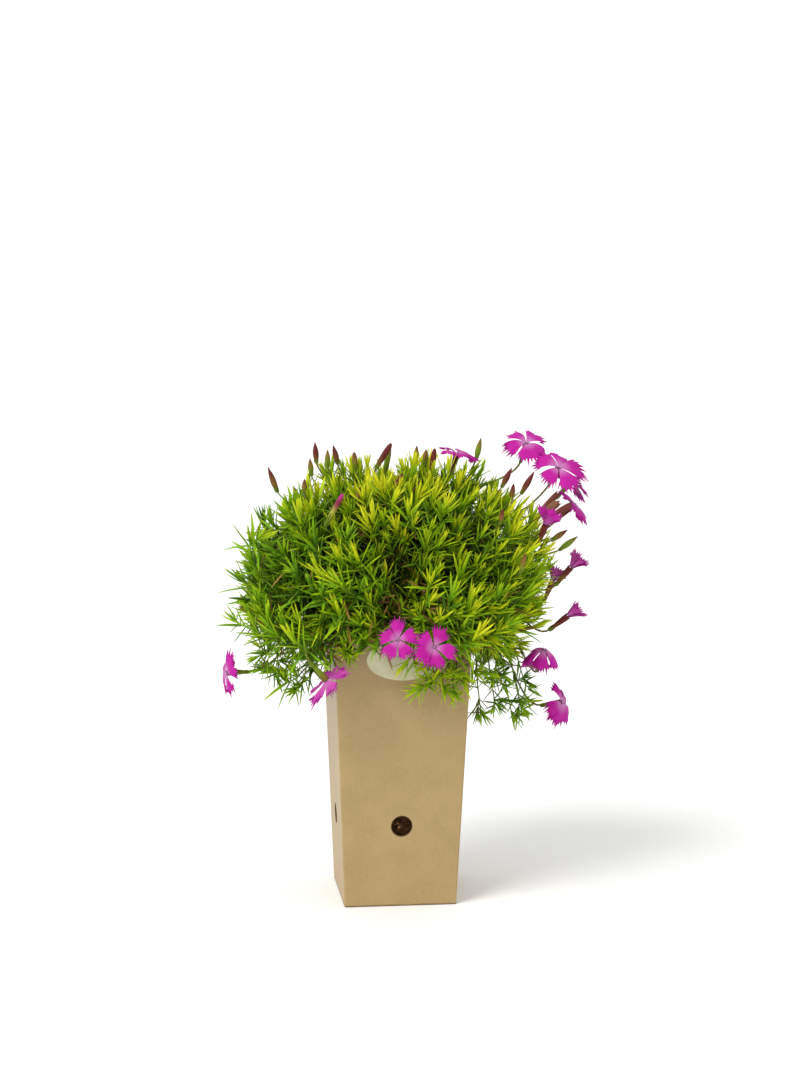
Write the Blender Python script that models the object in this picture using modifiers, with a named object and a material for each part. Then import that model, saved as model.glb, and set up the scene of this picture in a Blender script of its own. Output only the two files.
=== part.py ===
"""A dianthus in flower, standing in a tall tapered pot of solid board.

The pot is one folded blank with a round hole low in each side and an oval paper label on its front. It
holds a block of potting soil. Woody branches stand in the soil and spread like a fountain into one dense
cushion of needle leaves, with buds among them. Each bloom has a stalk that stands in the branch that bore
it, a calyx at the stalk's end, and a corolla of five toothed petals that stands in the calyx.
"""

import math
import random

import bmesh
import bpy
from mathutils import Matrix, Vector
from mathutils.bvhtree import BVHTree

MM = 0.001
UP = Vector((0, 0, 1))

# Pot: outer widths across the flats, and one thickness of solid board for the walls and the base.
POT_TOP = 90 * MM
POT_BASE = 74 * MM
POT_HEIGHT = 180 * MM
BOARD = 1.5 * MM
FOLD_RADIUS = 1.1 * MM
HOLE_RADIUS = 6.9 * MM
HOLE_HEIGHT = 54 * MM
TUCK_SLIT = 0.8 * MM
TUCK_DEPTH = 0.7 * MM

# Label: an oval of paper just under the rim of the front wall.
LABEL_WIDTH = 48 * MM
LABEL_LENGTH = 27 * MM
LABEL_THICKNESS = 0.5 * MM
LABEL_HEIGHT = 165 * MM

# Clearances between pieces that touch on the real thing, and between foliage of different branches. Leaves of
# one branch may stand closer than their width by the last.
SEAT_GAP = 0.3 * MM
LEAF_GAP = 0.4 * MM
TWIG_GAP = 0.3 * MM

# Soil
SOIL_TOP = 170 * MM
SOIL_ROUGHNESS = 1.6 * MM
STEM_HOLE_DEPTH = 12 * MM

# Cushion: a flattened dome about its heart, hanging lower at the sides than in front of the label.
HEART = Vector((0, 0, 200 * MM))
CUSHION_HALF_WIDTH = 108 * MM
CUSHION_HALF_DEPTH = 92 * MM
CUSHION_RISE = 95 * MM
CUSHION_SAG_SIDE = 60 * MM
CUSHION_SAG_FRONT = 20 * MM
CUSHION_SQUARENESS = 2.5
LOWEST_SIDE = math.radians(112)
LOWEST_FRONT = math.radians(100)
GOLDEN_TURN = math.pi * (3 - math.sqrt(5))

# Branches: a woody stem and a rough twiggy core, which the leafy shoots stand out of.
BRANCHES = 13
BRANCH_LOWEST = math.radians(98)
CORE_SHARE = 0.60
CORE_INNER = 27 * MM
CORE_MIDDLE = 47 * MM
CORE_GAP = 1.6 * MM
CORE_FLOOR = 186 * MM
STEM_RADIUS = 1.7 * MM
STEM_SPREAD = 29 * MM

# Leafy shoots: four-sided stems whose leaf pairs stand so close that they make whorls of four. Each leaf is
# one side of the stem drawn out to a point.
SHOOTS = 90
SHOOT_HALF_WIDTH = 0.8 * MM
LEAF_LENGTH = 17 * MM
LEAF_ROOT = 1.6 * MM
# Each whorl's place on the shoot, its spread from the shoot's line, and its share of the full leaf length.
# The last two stand one on the other.
WHORL_PLACES = (0.38, 0.88)
WHORLS = ((1, math.radians(66), 0.95), (2, math.radians(48), 1.0), (2, math.radians(20), 0.92))
WHORL_TWIST = math.radians(38)

# Blooms
STALK_RADIUS = 0.65 * MM
CALYX_LENGTH = 15 * MM
CALYX_RADIUS = 2.2 * MM
CALYX_MOUTH = 1.4 * MM
CLAW_RADIUS = 1.05 * MM
CLAW_LENGTH = 6 * MM
SOCKET_DEPTH = 3.2 * MM
PETALS = 5
PETAL_LENGTH = 14.5 * MM
PETAL_WIDTH = 12 * MM
PETAL_THICKNESS = 0.6 * MM
PETAL_CURL = 0.9 * MM
THROAT_RADIUS = 1.9 * MM
THROAT_RISE = 0.7 * MM
# Across a petal's outer edge: the share of its half width, and the share of its length at that point.
PETAL_TEETH = ((-1, 0.84), (-0.62, 1.0), (-0.34, 0.87), (0, 1.0), (0.34, 0.87), (0.62, 1.0), (1, 0.84))

# Each bloom: its throat in mm, the way it faces, how far it has opened (1 is flat, above 1 is folded back)
# and, where its stalk lies over a hanging shoot, a point in mm that the stalk passes.
BLOOMS = (
    ("top", (41, 5, 294), (0.22, -0.16, 0.96), 1.05, None),
    ("crest", (85, -10, 302), (0.14, -0.55, 0.82), 1.16, None),
    ("shoulder", (103, -27, 287), (0.20, -0.70, 0.68), 1.12, None),
    ("behind_shoulder", (120, 12, 274), (0.72, 0.20, 0.66), 1.15, None),
    ("right_upper", (118, -6, 261), (0.70, -0.16, 0.70), 1.22, None),
    ("right_half_open", (92, -44, 252), (0.24, -0.40, 0.88), 0.42, None),
    ("right_shuttlecock", (118, 0, 218), (0.64, -0.05, 0.77), 0.25, None),
    ("right_tight", (114, -12, 187), (0.78, -0.12, 0.61), 0.20, None),
    ("right_faded", (109, 15, 207), (0.42, 0.10, 0.90), 0.42, None),
    ("right_nodding", (94, -34, 168), (0.16, -0.42, 0.89), 1.62, None),
    ("right_hanging", (109, -18, 130), (0.74, -0.62, 0.24), 1.32, (76, -20, 136)),
    ("front_right", (13, -91, 181), (0.05, -0.95, 0.30), 0.96, None),
    ("front_left", (-9, -86, 185), (-0.22, -0.88, 0.42), 1.00, None),
    ("left_hanging", (-112, -13, 153), (-0.93, -0.28, 0.04), 1.25, None),
    ("left_front", (-53, -70, 158), (0.62, 0.20, -0.72), 1.10, None),
    ("back_left", (-58, 86, 232), (-0.35, 0.85, 0.40), 1.00, None),
    ("back_right", (38, 100, 226), (0.25, 0.88, 0.40), 1.08, None),
)

# Closed buds: the base and the tip of each in mm. Their stalks are fused to the nearest branch.
BUDS = (
    ((-52, 10, 290), (-53, 10, 302)),
    ((-79, -5, 271), (-85, -5, 286)),
    ((-38, 18, 290), (-42, 20, 300)),
    ((-13, -5, 288), (-5, -5, 303)),
    ((-51, -60, 256), (-43, -67, 275)),
    ((20, -10, 286), (21, -11, 298)),
    ((55, 12, 293), (58, 12, 304)),
    ((66, -24, 276), (72, -26, 286)),
    ((80, -40, 244), (88, -44, 254)),
    ((101, -20, 238), (111, -22, 245)),
    ((-95, -20, 192), (-105, -22, 196)),
    ((-20, 60, 278), (-22, 66, 289)),
    ((75, 55, 255), (81, 60, 264)),
)
BUD_RADIUS = 1.75 * MM

# Shoots that hang past the rim: their tips in mm.
HANGING_TIPS = ((-68, -38, 146), (-92, -24, 158), (-84, 18, 148), (-58, 8, 140), (26, -60, 152),
                (50, -58, 152), (72, -34, 140), (76, 2, 122), (64, 34, 146))
HANGING_STATIONS = 4


def clear_scene():
    """Removes the objects of the scene the script starts in."""
    for obj in list(bpy.data.objects):
        bpy.data.objects.remove(obj)


def collection_named(name):
    made = bpy.data.collections.new(name)
    bpy.context.scene.collection.children.link(made)
    return made


def material_named(name, colour, roughness):
    """A plain Principled finish of one colour."""
    made = bpy.data.materials.new(name)
    made.use_nodes = True
    shader = made.node_tree.nodes["Principled BSDF"]
    shader.inputs["Base Color"].default_value = (*colour, 1)
    shader.inputs["Roughness"].default_value = roughness
    shader.inputs["Metallic"].default_value = 0
    return made


def object_from(name, bm, into, finish=None):
    """Turns a bmesh into an object in a collection."""
    mesh = bpy.data.meshes.new(name)
    bm.to_mesh(mesh)
    bm.free()
    obj = bpy.data.objects.new(name, mesh)
    into.objects.link(obj)
    if finish:
        mesh.materials.append(finish)
    return obj


def as_cutter(obj):
    obj.hide_render = True
    obj.display_type = "WIRE"
    return obj


def add_boolean(obj, operation, other, solver="EXACT"):
    """Joins to obj, or cuts from it, another object or each object of a collection."""
    modifier = obj.modifiers.new(operation.title(), "BOOLEAN")
    modifier.operation = operation
    modifier.solver = solver
    if isinstance(other, bpy.types.Collection):
        modifier.operand_type = "COLLECTION"
        modifier.collection = other
    else:
        modifier.object = other
    return modifier


def apply_modifiers(obj):
    """Replaces the object's mesh by what its modifiers make of it."""
    bpy.context.view_layer.update()
    evaluated = obj.evaluated_get(bpy.context.evaluated_depsgraph_get())
    mesh = bpy.data.meshes.new_from_object(evaluated)
    obj.modifiers.clear()
    obj.data = mesh
    return obj


def join_repeats(obj, repeats):
    """Fuses the collection's objects into obj by one union, then removes them."""
    add_boolean(obj, "UNION", repeats, "MANIFOLD")
    apply_modifiers(obj)
    for piece in list(repeats.objects):
        bpy.data.objects.remove(piece)
    bpy.data.collections.remove(repeats)
    return obj


def surface_of(obj):
    """A search tree of the object's faces in world space."""
    bm = bmesh.new()
    bm.from_mesh(obj.data)
    bm.transform(obj.matrix_world)
    tree = BVHTree.FromBMesh(bm)
    bm.free()
    return tree


def frustum(name, base_width, top_width, low, high, into):
    """A square block that widens from base_width at height low to top_width at height high."""
    bm = bmesh.new()
    half_diagonal = 1 / math.sqrt(2)
    bmesh.ops.create_cone(
        bm,
        cap_ends=True,
        segments=4,
        radius1=base_width * half_diagonal,
        radius2=top_width * half_diagonal,
        depth=high - low,
        matrix=Matrix.Translation((0, 0, (low + high) / 2)) @ Matrix.Rotation(math.pi / 4, 4, "Z"),
    )
    return object_from(name, bm, into)


def rod(name, start, end, radius, sides, into, end_radius=None):
    """A straight closed rod or cone between two points."""
    line = end - start
    bm = bmesh.new()
    bmesh.ops.create_cone(
        bm,
        cap_ends=True,
        segments=sides,
        radius1=radius,
        radius2=radius if end_radius is None else end_radius,
        depth=line.length,
        matrix=Matrix.Translation((start + end) / 2) @ line.to_track_quat("Z", "Y").to_matrix().to_4x4(),
    )
    return object_from(name, bm, into)


def tube(name, points, radii, rings, into):
    """A round tube through the points with its own radius at each, as a closed mesh of 4 + 2 * rings sides."""
    curve = bpy.data.curves.new(name, "CURVE")
    curve.dimensions = "3D"
    curve.bevel_depth = 1
    curve.bevel_resolution = rings
    curve.use_fill_caps = True
    spline = curve.splines.new("POLY")
    spline.points.add(len(points) - 1)
    for knot, point, radius in zip(spline.points, points, radii):
        knot.co = (*point, 1)
        knot.radius = radius
    guide = bpy.data.objects.new(name, curve)
    into.objects.link(guide)
    bpy.context.view_layer.update()
    evaluated = guide.evaluated_get(bpy.context.evaluated_depsgraph_get())
    mesh = bpy.data.meshes.new_from_object(evaluated)
    bm = bmesh.new()
    bm.from_mesh(mesh)
    bmesh.ops.remove_doubles(bm, verts=bm.verts, dist=0.01 * MM)
    bpy.data.objects.remove(guide)
    bpy.data.meshes.remove(mesh)
    return object_from(name, bm, into)


def bezier(points, steps):
    """Points along the cubic through four controls."""
    a, b, c, d = points
    found = []
    for step in range(steps + 1):
        t = step / steps
        s = 1 - t
        found.append(a * s**3 + b * 3 * s * s * t + c * 3 * s * t * t + d * t**3)
    return found


def cushion_radius(direction):
    """Distance from the heart to the leaf tips along a unit direction: a squarish flattened dome."""
    sideways = direction.x**2 / max(direction.x**2 + direction.y**2, 1e-9)
    reach = CUSHION_HALF_DEPTH + (CUSHION_HALF_WIDTH - CUSHION_HALF_DEPTH) * sideways
    sag = CUSHION_SAG_FRONT + (CUSHION_SAG_SIDE - CUSHION_SAG_FRONT) * sideways
    height = CUSHION_RISE if direction.z > 0 else sag
    level = math.hypot(direction.x, direction.y) / reach
    rise = abs(direction.z) / height
    return (level**CUSHION_SQUARENESS + rise**CUSHION_SQUARENESS) ** (-1 / CUSHION_SQUARENESS)


def dome_direction(turn, fall):
    """The unit direction at an angle of fall from straight up and a turn about the upright axis."""
    return Vector((math.sin(fall) * math.cos(turn), math.sin(fall) * math.sin(turn), math.cos(fall)))


def spread_over_dome(count, lowest_side, lowest_front):
    """Directions spread evenly over the dome by the golden angle, reaching lower at the sides."""
    found = []
    for i in range(count):
        turn = i * GOLDEN_TURN
        lowest = lowest_front + (lowest_side - lowest_front) * math.cos(turn) ** 2
        fall = math.acos(1 - (1 - math.cos(lowest)) * (i + 0.5) / count)
        found.append(dome_direction(turn, fall))
    return found


def make_pot(into, cutters, finish):
    """The folded blank: four tapering walls and a base, holed low in each wall."""
    pot = frustum("pot", POT_BASE, POT_TOP, 0, POT_HEIGHT, into)
    bm = bmesh.new()
    bm.from_mesh(pot.data)
    upright = [e for e in bm.edges if abs(e.verts[0].co.z - e.verts[1].co.z) > POT_HEIGHT / 2]
    bmesh.ops.bevel(bm, geom=upright, offset=FOLD_RADIUS, segments=2, profile=0.5, affect="EDGES")
    bm.to_mesh(pot.data)
    bm.free()
    pot.data.materials.append(finish)

    def inner_width(height):
        return POT_BASE + (POT_TOP - POT_BASE) * height / POT_HEIGHT - 2 * BOARD

    above_rim = POT_HEIGHT + 5 * MM
    cavity = frustum("pot_cavity", inner_width(BOARD), inner_width(above_rim), BOARD, above_rim, cutters)
    add_boolean(pot, "DIFFERENCE", as_cutter(cavity))
    for name, axis in (("hole_across", Vector((1, 0, 0))), ("hole_along", Vector((0, 1, 0)))):
        reach = axis * POT_TOP
        centre = UP * HOLE_HEIGHT
        hole = rod(name, centre - reach, centre + reach, HOLE_RADIUS, 18, cutters)
        add_boolean(pot, "DIFFERENCE", as_cutter(hole))
    make_tuck_slit(pot, cutters)
    return pot


def make_tuck_slit(pot, cutters):
    """The shallow slit round three sides of the base panel, where the flap is tucked behind the walls."""
    inset = POT_BASE / 2 - BOARD - TUCK_SLIT / 2
    middle = (TUCK_DEPTH - 1 * MM) / 2
    runs = (
        ("slit_front", (0, -inset, middle), (2 * inset, TUCK_SLIT)),
        ("slit_left", (-inset, 0, middle), (TUCK_SLIT, 2 * inset)),
        ("slit_right", (inset, 0, middle), (TUCK_SLIT, 2 * inset)),
    )
    for name, place, (across, along) in runs:
        bm = bmesh.new()
        size = Matrix.Diagonal((across, along, TUCK_DEPTH + 1 * MM, 1))
        bmesh.ops.create_cube(bm, size=1, matrix=Matrix.Translation(place) @ size)
        add_boolean(pot, "DIFFERENCE", as_cutter(object_from(name, bm, cutters)))


def make_label(into, finish):
    """An oval of paper that lies on the sloping front wall."""
    bm = bmesh.new()
    oval = Matrix.Diagonal((LABEL_WIDTH / 2, LABEL_LENGTH / 2, LABEL_THICKNESS, 1))
    bmesh.ops.create_cone(bm, cap_ends=True, segments=28, radius1=1, radius2=1, depth=1, matrix=oval)
    label = object_from("label", bm, into, finish)
    taper = math.atan((POT_TOP - POT_BASE) / 2 / POT_HEIGHT)
    wall = -(POT_BASE + (POT_TOP - POT_BASE) * LABEL_HEIGHT / POT_HEIGHT) / 2
    proud = SEAT_GAP + LABEL_THICKNESS / 2
    label.location = (0, wall - proud * math.cos(taper), LABEL_HEIGHT - proud * math.sin(taper))
    label.rotation_euler = (math.pi / 2 + taper, 0, 0)
    return label


def make_soil(into, cutters, finish):
    """A tapered block that fills the pot with a little play, its top face lumpy."""
    play = 2 * (BOARD + SEAT_GAP + 0.1 * MM)
    low = BOARD + SEAT_GAP
    widen = (POT_TOP - POT_BASE) / POT_HEIGHT
    soil = frustum("soil", POT_BASE + widen * low - play, POT_BASE + widen * SOIL_TOP - play, low, SOIL_TOP, into)
    bm = bmesh.new()
    bm.from_mesh(soil.data)
    top_edges = [e for e in bm.edges if all(v.co.z > SOIL_TOP - MM for v in e.verts)]
    bmesh.ops.subdivide_edges(bm, edges=top_edges, cuts=3, use_grid_fill=True)
    inside = POT_TOP / 2 - 6 * MM
    for vertex in bm.verts:
        x, y, z = vertex.co
        if z > SOIL_TOP - MM and max(abs(x), abs(y)) < inside:
            vertex.co.z += SOIL_ROUGHNESS * math.sin(x * 190 + 1) * math.cos(y * 230 + x * 90)
    bmesh.ops.triangulate(bm, faces=bm.faces)
    bm.to_mesh(soil.data)
    bm.free()
    soil.data.materials.append(finish)
    return soil


class Branches:
    """The woody branches and their cores, and what of the plant has to keep clear of what."""

    def __init__(self):
        self.directions = spread_over_dome(BRANCHES, BRANCH_LOWEST, BRANCH_LOWEST)
        self.centres = [HEART + d * CORE_MIDDLE for d in self.directions]
        self.cores = []
        self.surfaces = []
        # Pairs of an owning branch, or None, and a search tree.
        self.obstacles = []

    def nearest(self, point):
        """The branch whose direction from the heart is nearest to the point's."""
        outward = (point - HEART).normalized()
        return max(range(BRANCHES), key=lambda k: self.directions[k].dot(outward))

    def holds(self, point, k):
        """Whether a point lies in the room that branch k's core may fill."""
        outward = point - HEART
        if outward.length > CORE_SHARE * cushion_radius(outward.normalized()):
            return False
        if outward.dot(self.directions[k]) < CORE_INNER:
            return False
        if point.z < CORE_FLOOR - 0.75 * max(0, abs(point.x) - POT_TOP / 2 - 5 * MM):
            return False
        for j, other in enumerate(self.directions):
            if j != k and outward.dot((other - self.directions[k]).normalized()) > -CORE_GAP / 2:
                return False
        return True

    def reserve(self, obj, owner=None):
        self.obstacles.append((owner, surface_of(obj)))

    def clear(self, points, radius, owner):
        """Whether a thin piece along the points keeps its distance from what stands near it."""
        for holder, tree in self.obstacles:
            reach = radius + (-TWIG_GAP if holder == owner else LEAF_GAP)
            for point in points:
                if tree.find_nearest(point, reach)[0] is not None:
                    return False
        return True

    def foot(self, point):
        """Where a stalk that bears the point leaves its branch: the branch, the place and the way out."""
        k = min(range(BRANCHES), key=lambda j: (self.centres[j] - point).length)
        way_out = (point - self.centres[k]).normalized()
        place = self.surfaces[k].ray_cast(point, -way_out)[0]
        return k, place, way_out


def core_of(branches, k, into):
    """A rough twiggy lump: a ball pushed out until it meets the limits of its branch's room."""
    bm = bmesh.new()
    bmesh.ops.create_icosphere(bm, subdivisions=2, radius=1)
    draw = random.Random(100 + k)
    centre = branches.centres[k]
    for vertex in bm.verts:
        way = vertex.co.normalized()
        near, far = 0, 0.12
        for _ in range(16):
            middle = (near + far) / 2
            if branches.holds(centre + way * middle, k):
                near = middle
            else:
                far = middle
        vertex.co = centre + way * near * draw.uniform(0.86, 1)
    return object_from(f"branch_{k + 1:02d}", bm, into)


def stem_path(branches, k):
    """A stem's line from its hole in the soil, up and out to the middle of its core."""
    direction = branches.directions[k]
    level = Vector((direction.x, direction.y, 0)).normalized()
    foot = level * STEM_SPREAD * math.sqrt((k + 0.5) / BRANCHES)
    base = Vector((foot.x, foot.y, SOIL_TOP - STEM_HOLE_DEPTH + SEAT_GAP))
    above_soil = Vector((foot.x, foot.y, SOIL_TOP + 14 * MM))
    bend = HEART + direction * CORE_INNER
    return [base] + bezier([Vector((foot.x, foot.y, SOIL_TOP + 4 * MM)), above_soil, bend, branches.centres[k]], 4)


def leaf_tip(branches, shoot, joint, axis, away, spread, length, draw):
    """Where the leaf on one side of a joint ends, or None where it would touch a neighbour however it turns."""
    for closing in (1, 0.8, 0.6, 0.4, 0.2):
        lean = spread * closing * draw.uniform(0.88, 1.12)
        way = axis * math.cos(lean) + away * math.sin(lean)
        tip = joint + way * length * draw.uniform(0.88, 1.08)
        steps = [joint.lerp(tip, share / 8) for share in range(2, 9)]
        if branches.clear(steps, SHOOT_HALF_WIDTH, shoot):
            return tip
    return None


def leafy_shoot(branches, k, path, whorls, turn, into, draw):
    """A four-sided stem along the path, with whorls of leaves at chosen stations of it.

    The whorls are a station of the path, a spread and a leaf length, in the path's order. Each whorl is turned
    from the one before, so that its leaves stand over the gaps.
    """
    ways = [(b - a).normalized() for a, b in zip(path, path[1:])]
    side = Matrix.Rotation(turn, 3, ways[0]) @ ways[0].orthogonal().normalized()
    rings = []
    tips = {}
    bm = bmesh.new()
    for i, centre in enumerate(path):
        way = ways[min(i, len(ways) - 1)]
        found = [(spread, length) for station, spread, length in whorls if station == i]
        side = (side - way * side.dot(way)).normalized()
        for ring in range(1 + len(found)):
            other = way.cross(side).normalized()
            corners = (side - other, side + other, other - side, -side - other)
            middle = centre + way * LEAF_ROOT * ring
            rings.append([bm.verts.new(middle + corner * SHOOT_HALF_WIDTH) for corner in corners])
            if ring < len(found):
                spread, length = found[ring]
                for face, away in enumerate((side, other, -side, -other)):
                    tip = leaf_tip(branches, k, middle, way, away, spread, length, draw)
                    if tip:
                        tips[len(rings) - 1, face] = bm.verts.new(tip)
                side = Matrix.Rotation(WHORL_TWIST, 3, way) @ side
    for i in range(len(rings) - 1):
        for face in range(4):
            following = (face + 1) % 4
            outline = (rings[i][face], rings[i][following], rings[i + 1][following], rings[i + 1][face])
            if (i, face) not in tips:
                bm.faces.new(outline)
                continue
            for j in range(4):
                bm.faces.new((outline[j], outline[(j + 1) % 4], tips[i, face]))
    bm.faces.new(rings[0])
    bm.faces.new(rings[-1])
    bmesh.ops.recalc_face_normals(bm, faces=bm.faces)
    made = object_from("shoot", bm, into)
    branches.reserve(made, k)
    return made


def add_shoot(branches, k, direction, into, draw):
    """A leafy shoot from the core to the cushion's surface."""
    surface = HEART + direction * cushion_radius(direction)
    root = branches.surfaces[k].ray_cast(surface, -direction)[0]
    if root is None:
        root = branches.surfaces[k].find_nearest(HEART + direction * CORE_SHARE * cushion_radius(direction))[0]
    reach = (surface - root).normalized()
    tip = surface - (reach + UP * 0.25).normalized() * LEAF_LENGTH * 0.8
    if not branches.clear([root.lerp(tip, share / 6) for share in range(1, 7)], SHOOT_HALF_WIDTH, k):
        return
    path = [root - reach * 4 * MM] + [root.lerp(tip, place) for place in WHORL_PLACES]
    whorls = [(station, spread, LEAF_LENGTH * share) for station, spread, share in WHORLS]
    leafy_shoot(branches, k, path, whorls, draw.uniform(0, math.pi), into, draw)


def hanging_path(branches, tip):
    """A hanging shoot's line: out of its branch's core, over, and down to its tip."""
    k, place, way_out = branches.foot(tip + UP * 25 * MM)
    level = Vector((tip.x - place.x, tip.y - place.y, 0))
    over = place + way_out * 8 * MM + level * 0.6
    above_tip = tip + UP * 14 * MM
    return k, [place - way_out * 4 * MM] + bezier([place, over, above_tip, tip], HANGING_STATIONS)[1:]


def add_hanging(branches, k, path, into, draw):
    """A hanging shoot with a whorl of leaves at each station and a tuft at its tip."""
    last = len(path) - 1
    whorls = [(i, math.radians(26 if i == last else 58), LEAF_LENGTH * 0.9) for i in range(1, last + 1)]
    leafy_shoot(branches, k, path, whorls, draw.uniform(0, math.pi), into, draw)


def bud_shape(branches, base, tip, into):
    """A pointed bud on its stalk, from inside the nearest core out to the bud's tip."""
    k, place, way_out = branches.foot(base)
    stalk = [place - way_out * 3 * MM, place.lerp(base, 0.5), base]
    length = tip - base
    points = stalk + [base + length * share for share in (0.16, 0.5, 0.8, 1)]
    radii = [STALK_RADIUS] * 3 + [BUD_RADIUS * share for share in (0.72, 1, 0.66, 0.16)]
    return k, tube("bud", points, radii, 0, into[k])


def corolla_sheet(opening):
    """Five petals and the throat they meet in, as one open sheet about +Z.

    The petals leave the throat upright and bend over by the opening: 1 lays their outer halves level.
    """
    first_lean = math.radians(20 + 50 * min(opening, 1))
    last_lean = math.radians(12 + 82 * opening)
    half = PETAL_WIDTH / 2 * (0.30 + 0.70 * min(opening * 1.3, 1))
    first = Vector((math.sin(first_lean), 0, math.cos(first_lean))) * PETAL_LENGTH * 0.42
    rest = Vector((math.sin(last_lean), 0, math.cos(last_lean))) * PETAL_LENGTH
    bm = bmesh.new()
    centre = bm.verts.new((0, 0, THROAT_RISE))
    notches = []
    for i in range(PETALS):
        turn = Matrix.Rotation((i - 0.5) * 2 * math.pi / PETALS, 3, "Z")
        notches.append(bm.verts.new(turn @ Vector((THROAT_RADIUS, 0, THROAT_RISE + 0.3 * MM))))
    for i in range(PETALS):
        turn = Matrix.Rotation(i * 2 * math.pi / PETALS, 3, "Z")
        waist = Vector((0, 0, THROAT_RISE)) + first
        middle = [bm.verts.new(turn @ (waist + Vector((0, side * half * 0.5, 0)))) for side in (-1, 0, 1)]
        edge = []
        for side, share in PETAL_TEETH:
            point = waist + rest * (share - 0.42) + Vector((0, side * half, -PETAL_CURL * side * side))
            edge.append(bm.verts.new(turn @ point))
        start, end = notches[i], notches[(i + 1) % PETALS]
        bm.faces.new((centre, start, end))
        bm.faces.new((start, middle[0], middle[1]))
        bm.faces.new((start, middle[1], end))
        bm.faces.new((end, middle[1], middle[2]))
        holders = (0, 0, 1, 1, 1, 2, 2)
        for j in range(len(edge) - 1):
            near, far = middle[holders[j]], middle[holders[j + 1]]
            bm.faces.new((near, edge[j], edge[j + 1]))
            if near != far:
                bm.faces.new((near, edge[j + 1], far))
    bmesh.ops.recalc_face_normals(bm, faces=bm.faces)
    return bm


def make_corolla(name, throat, facing, opening, spin, into, cutters, finish):
    """The petals, and below them the bundle of their claws, which stands in the calyx."""
    turn_to = facing.to_track_quat("Z", "Y").to_matrix().to_4x4()
    corolla = object_from(name, corolla_sheet(opening), into, finish)
    corolla.data.transform(Matrix.Translation(throat) @ turn_to @ Matrix.Rotation(spin, 4, "Z"))
    thicken = corolla.modifiers.new("Thickness", "SOLIDIFY")
    thicken.thickness = PETAL_THICKNESS
    thicken.offset = 0
    thicken.use_even_offset = False
    claws = rod(name + "_claws", throat - facing * CLAW_LENGTH, throat + facing * THROAT_RISE, CLAW_RADIUS, 6, cutters)
    add_boolean(corolla, "UNION", claws)
    apply_modifiers(corolla)
    bpy.data.objects.remove(claws)
    return corolla


def make_stalk(branches, name, throat, facing, via, into, cutters, finish):
    """A bloom's stalk and calyx as one turned rod, with sockets for its foot and for the petals' claws."""
    calyx_base = throat - facing * CALYX_LENGTH
    k, place, way_out = branches.foot(via or calyx_base)
    foot = place - way_out * (SOCKET_DEPTH - SEAT_GAP)
    leave = place + way_out * 5 * MM
    span = (calyx_base - leave).length
    if via:
        line = bezier([leave, leave + way_out * 8 * MM, via, via + (calyx_base - via) * 0.3], 4)
        line += bezier([via + (calyx_base - via) * 0.3, via.lerp(calyx_base, 0.6),
                        calyx_base - facing * 3 * MM, calyx_base], 2)[1:]
    else:
        line = bezier([leave, leave + way_out * span * 0.35, calyx_base - facing * span * 0.3, calyx_base], 3)
    points = [foot] + line
    radii = [STALK_RADIUS] * len(points)
    for share, thick in ((0.06, 0.75), (0.5, 0.88), (1, 1)):
        points.append(calyx_base + facing * CALYX_LENGTH * share)
        radii.append(CALYX_RADIUS * thick)
    stalk = tube(name, points, radii, 1, into)
    stalk.data.materials.append(finish)
    depth = CLAW_LENGTH + SEAT_GAP
    mouth = rod(name + "_mouth", throat - facing * depth, throat + facing * 2 * MM, CALYX_MOUTH, 6, cutters)
    add_boolean(stalk, "DIFFERENCE", as_cutter(mouth))
    apply_modifiers(stalk)
    bpy.data.objects.remove(mouth)
    socket = rod(name + "_socket", place - way_out * SOCKET_DEPTH, place + way_out * 4 * MM,
                 STALK_RADIUS + SEAT_GAP + 0.05 * MM, 6, cutters)
    return stalk, k, as_cutter(socket)


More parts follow.
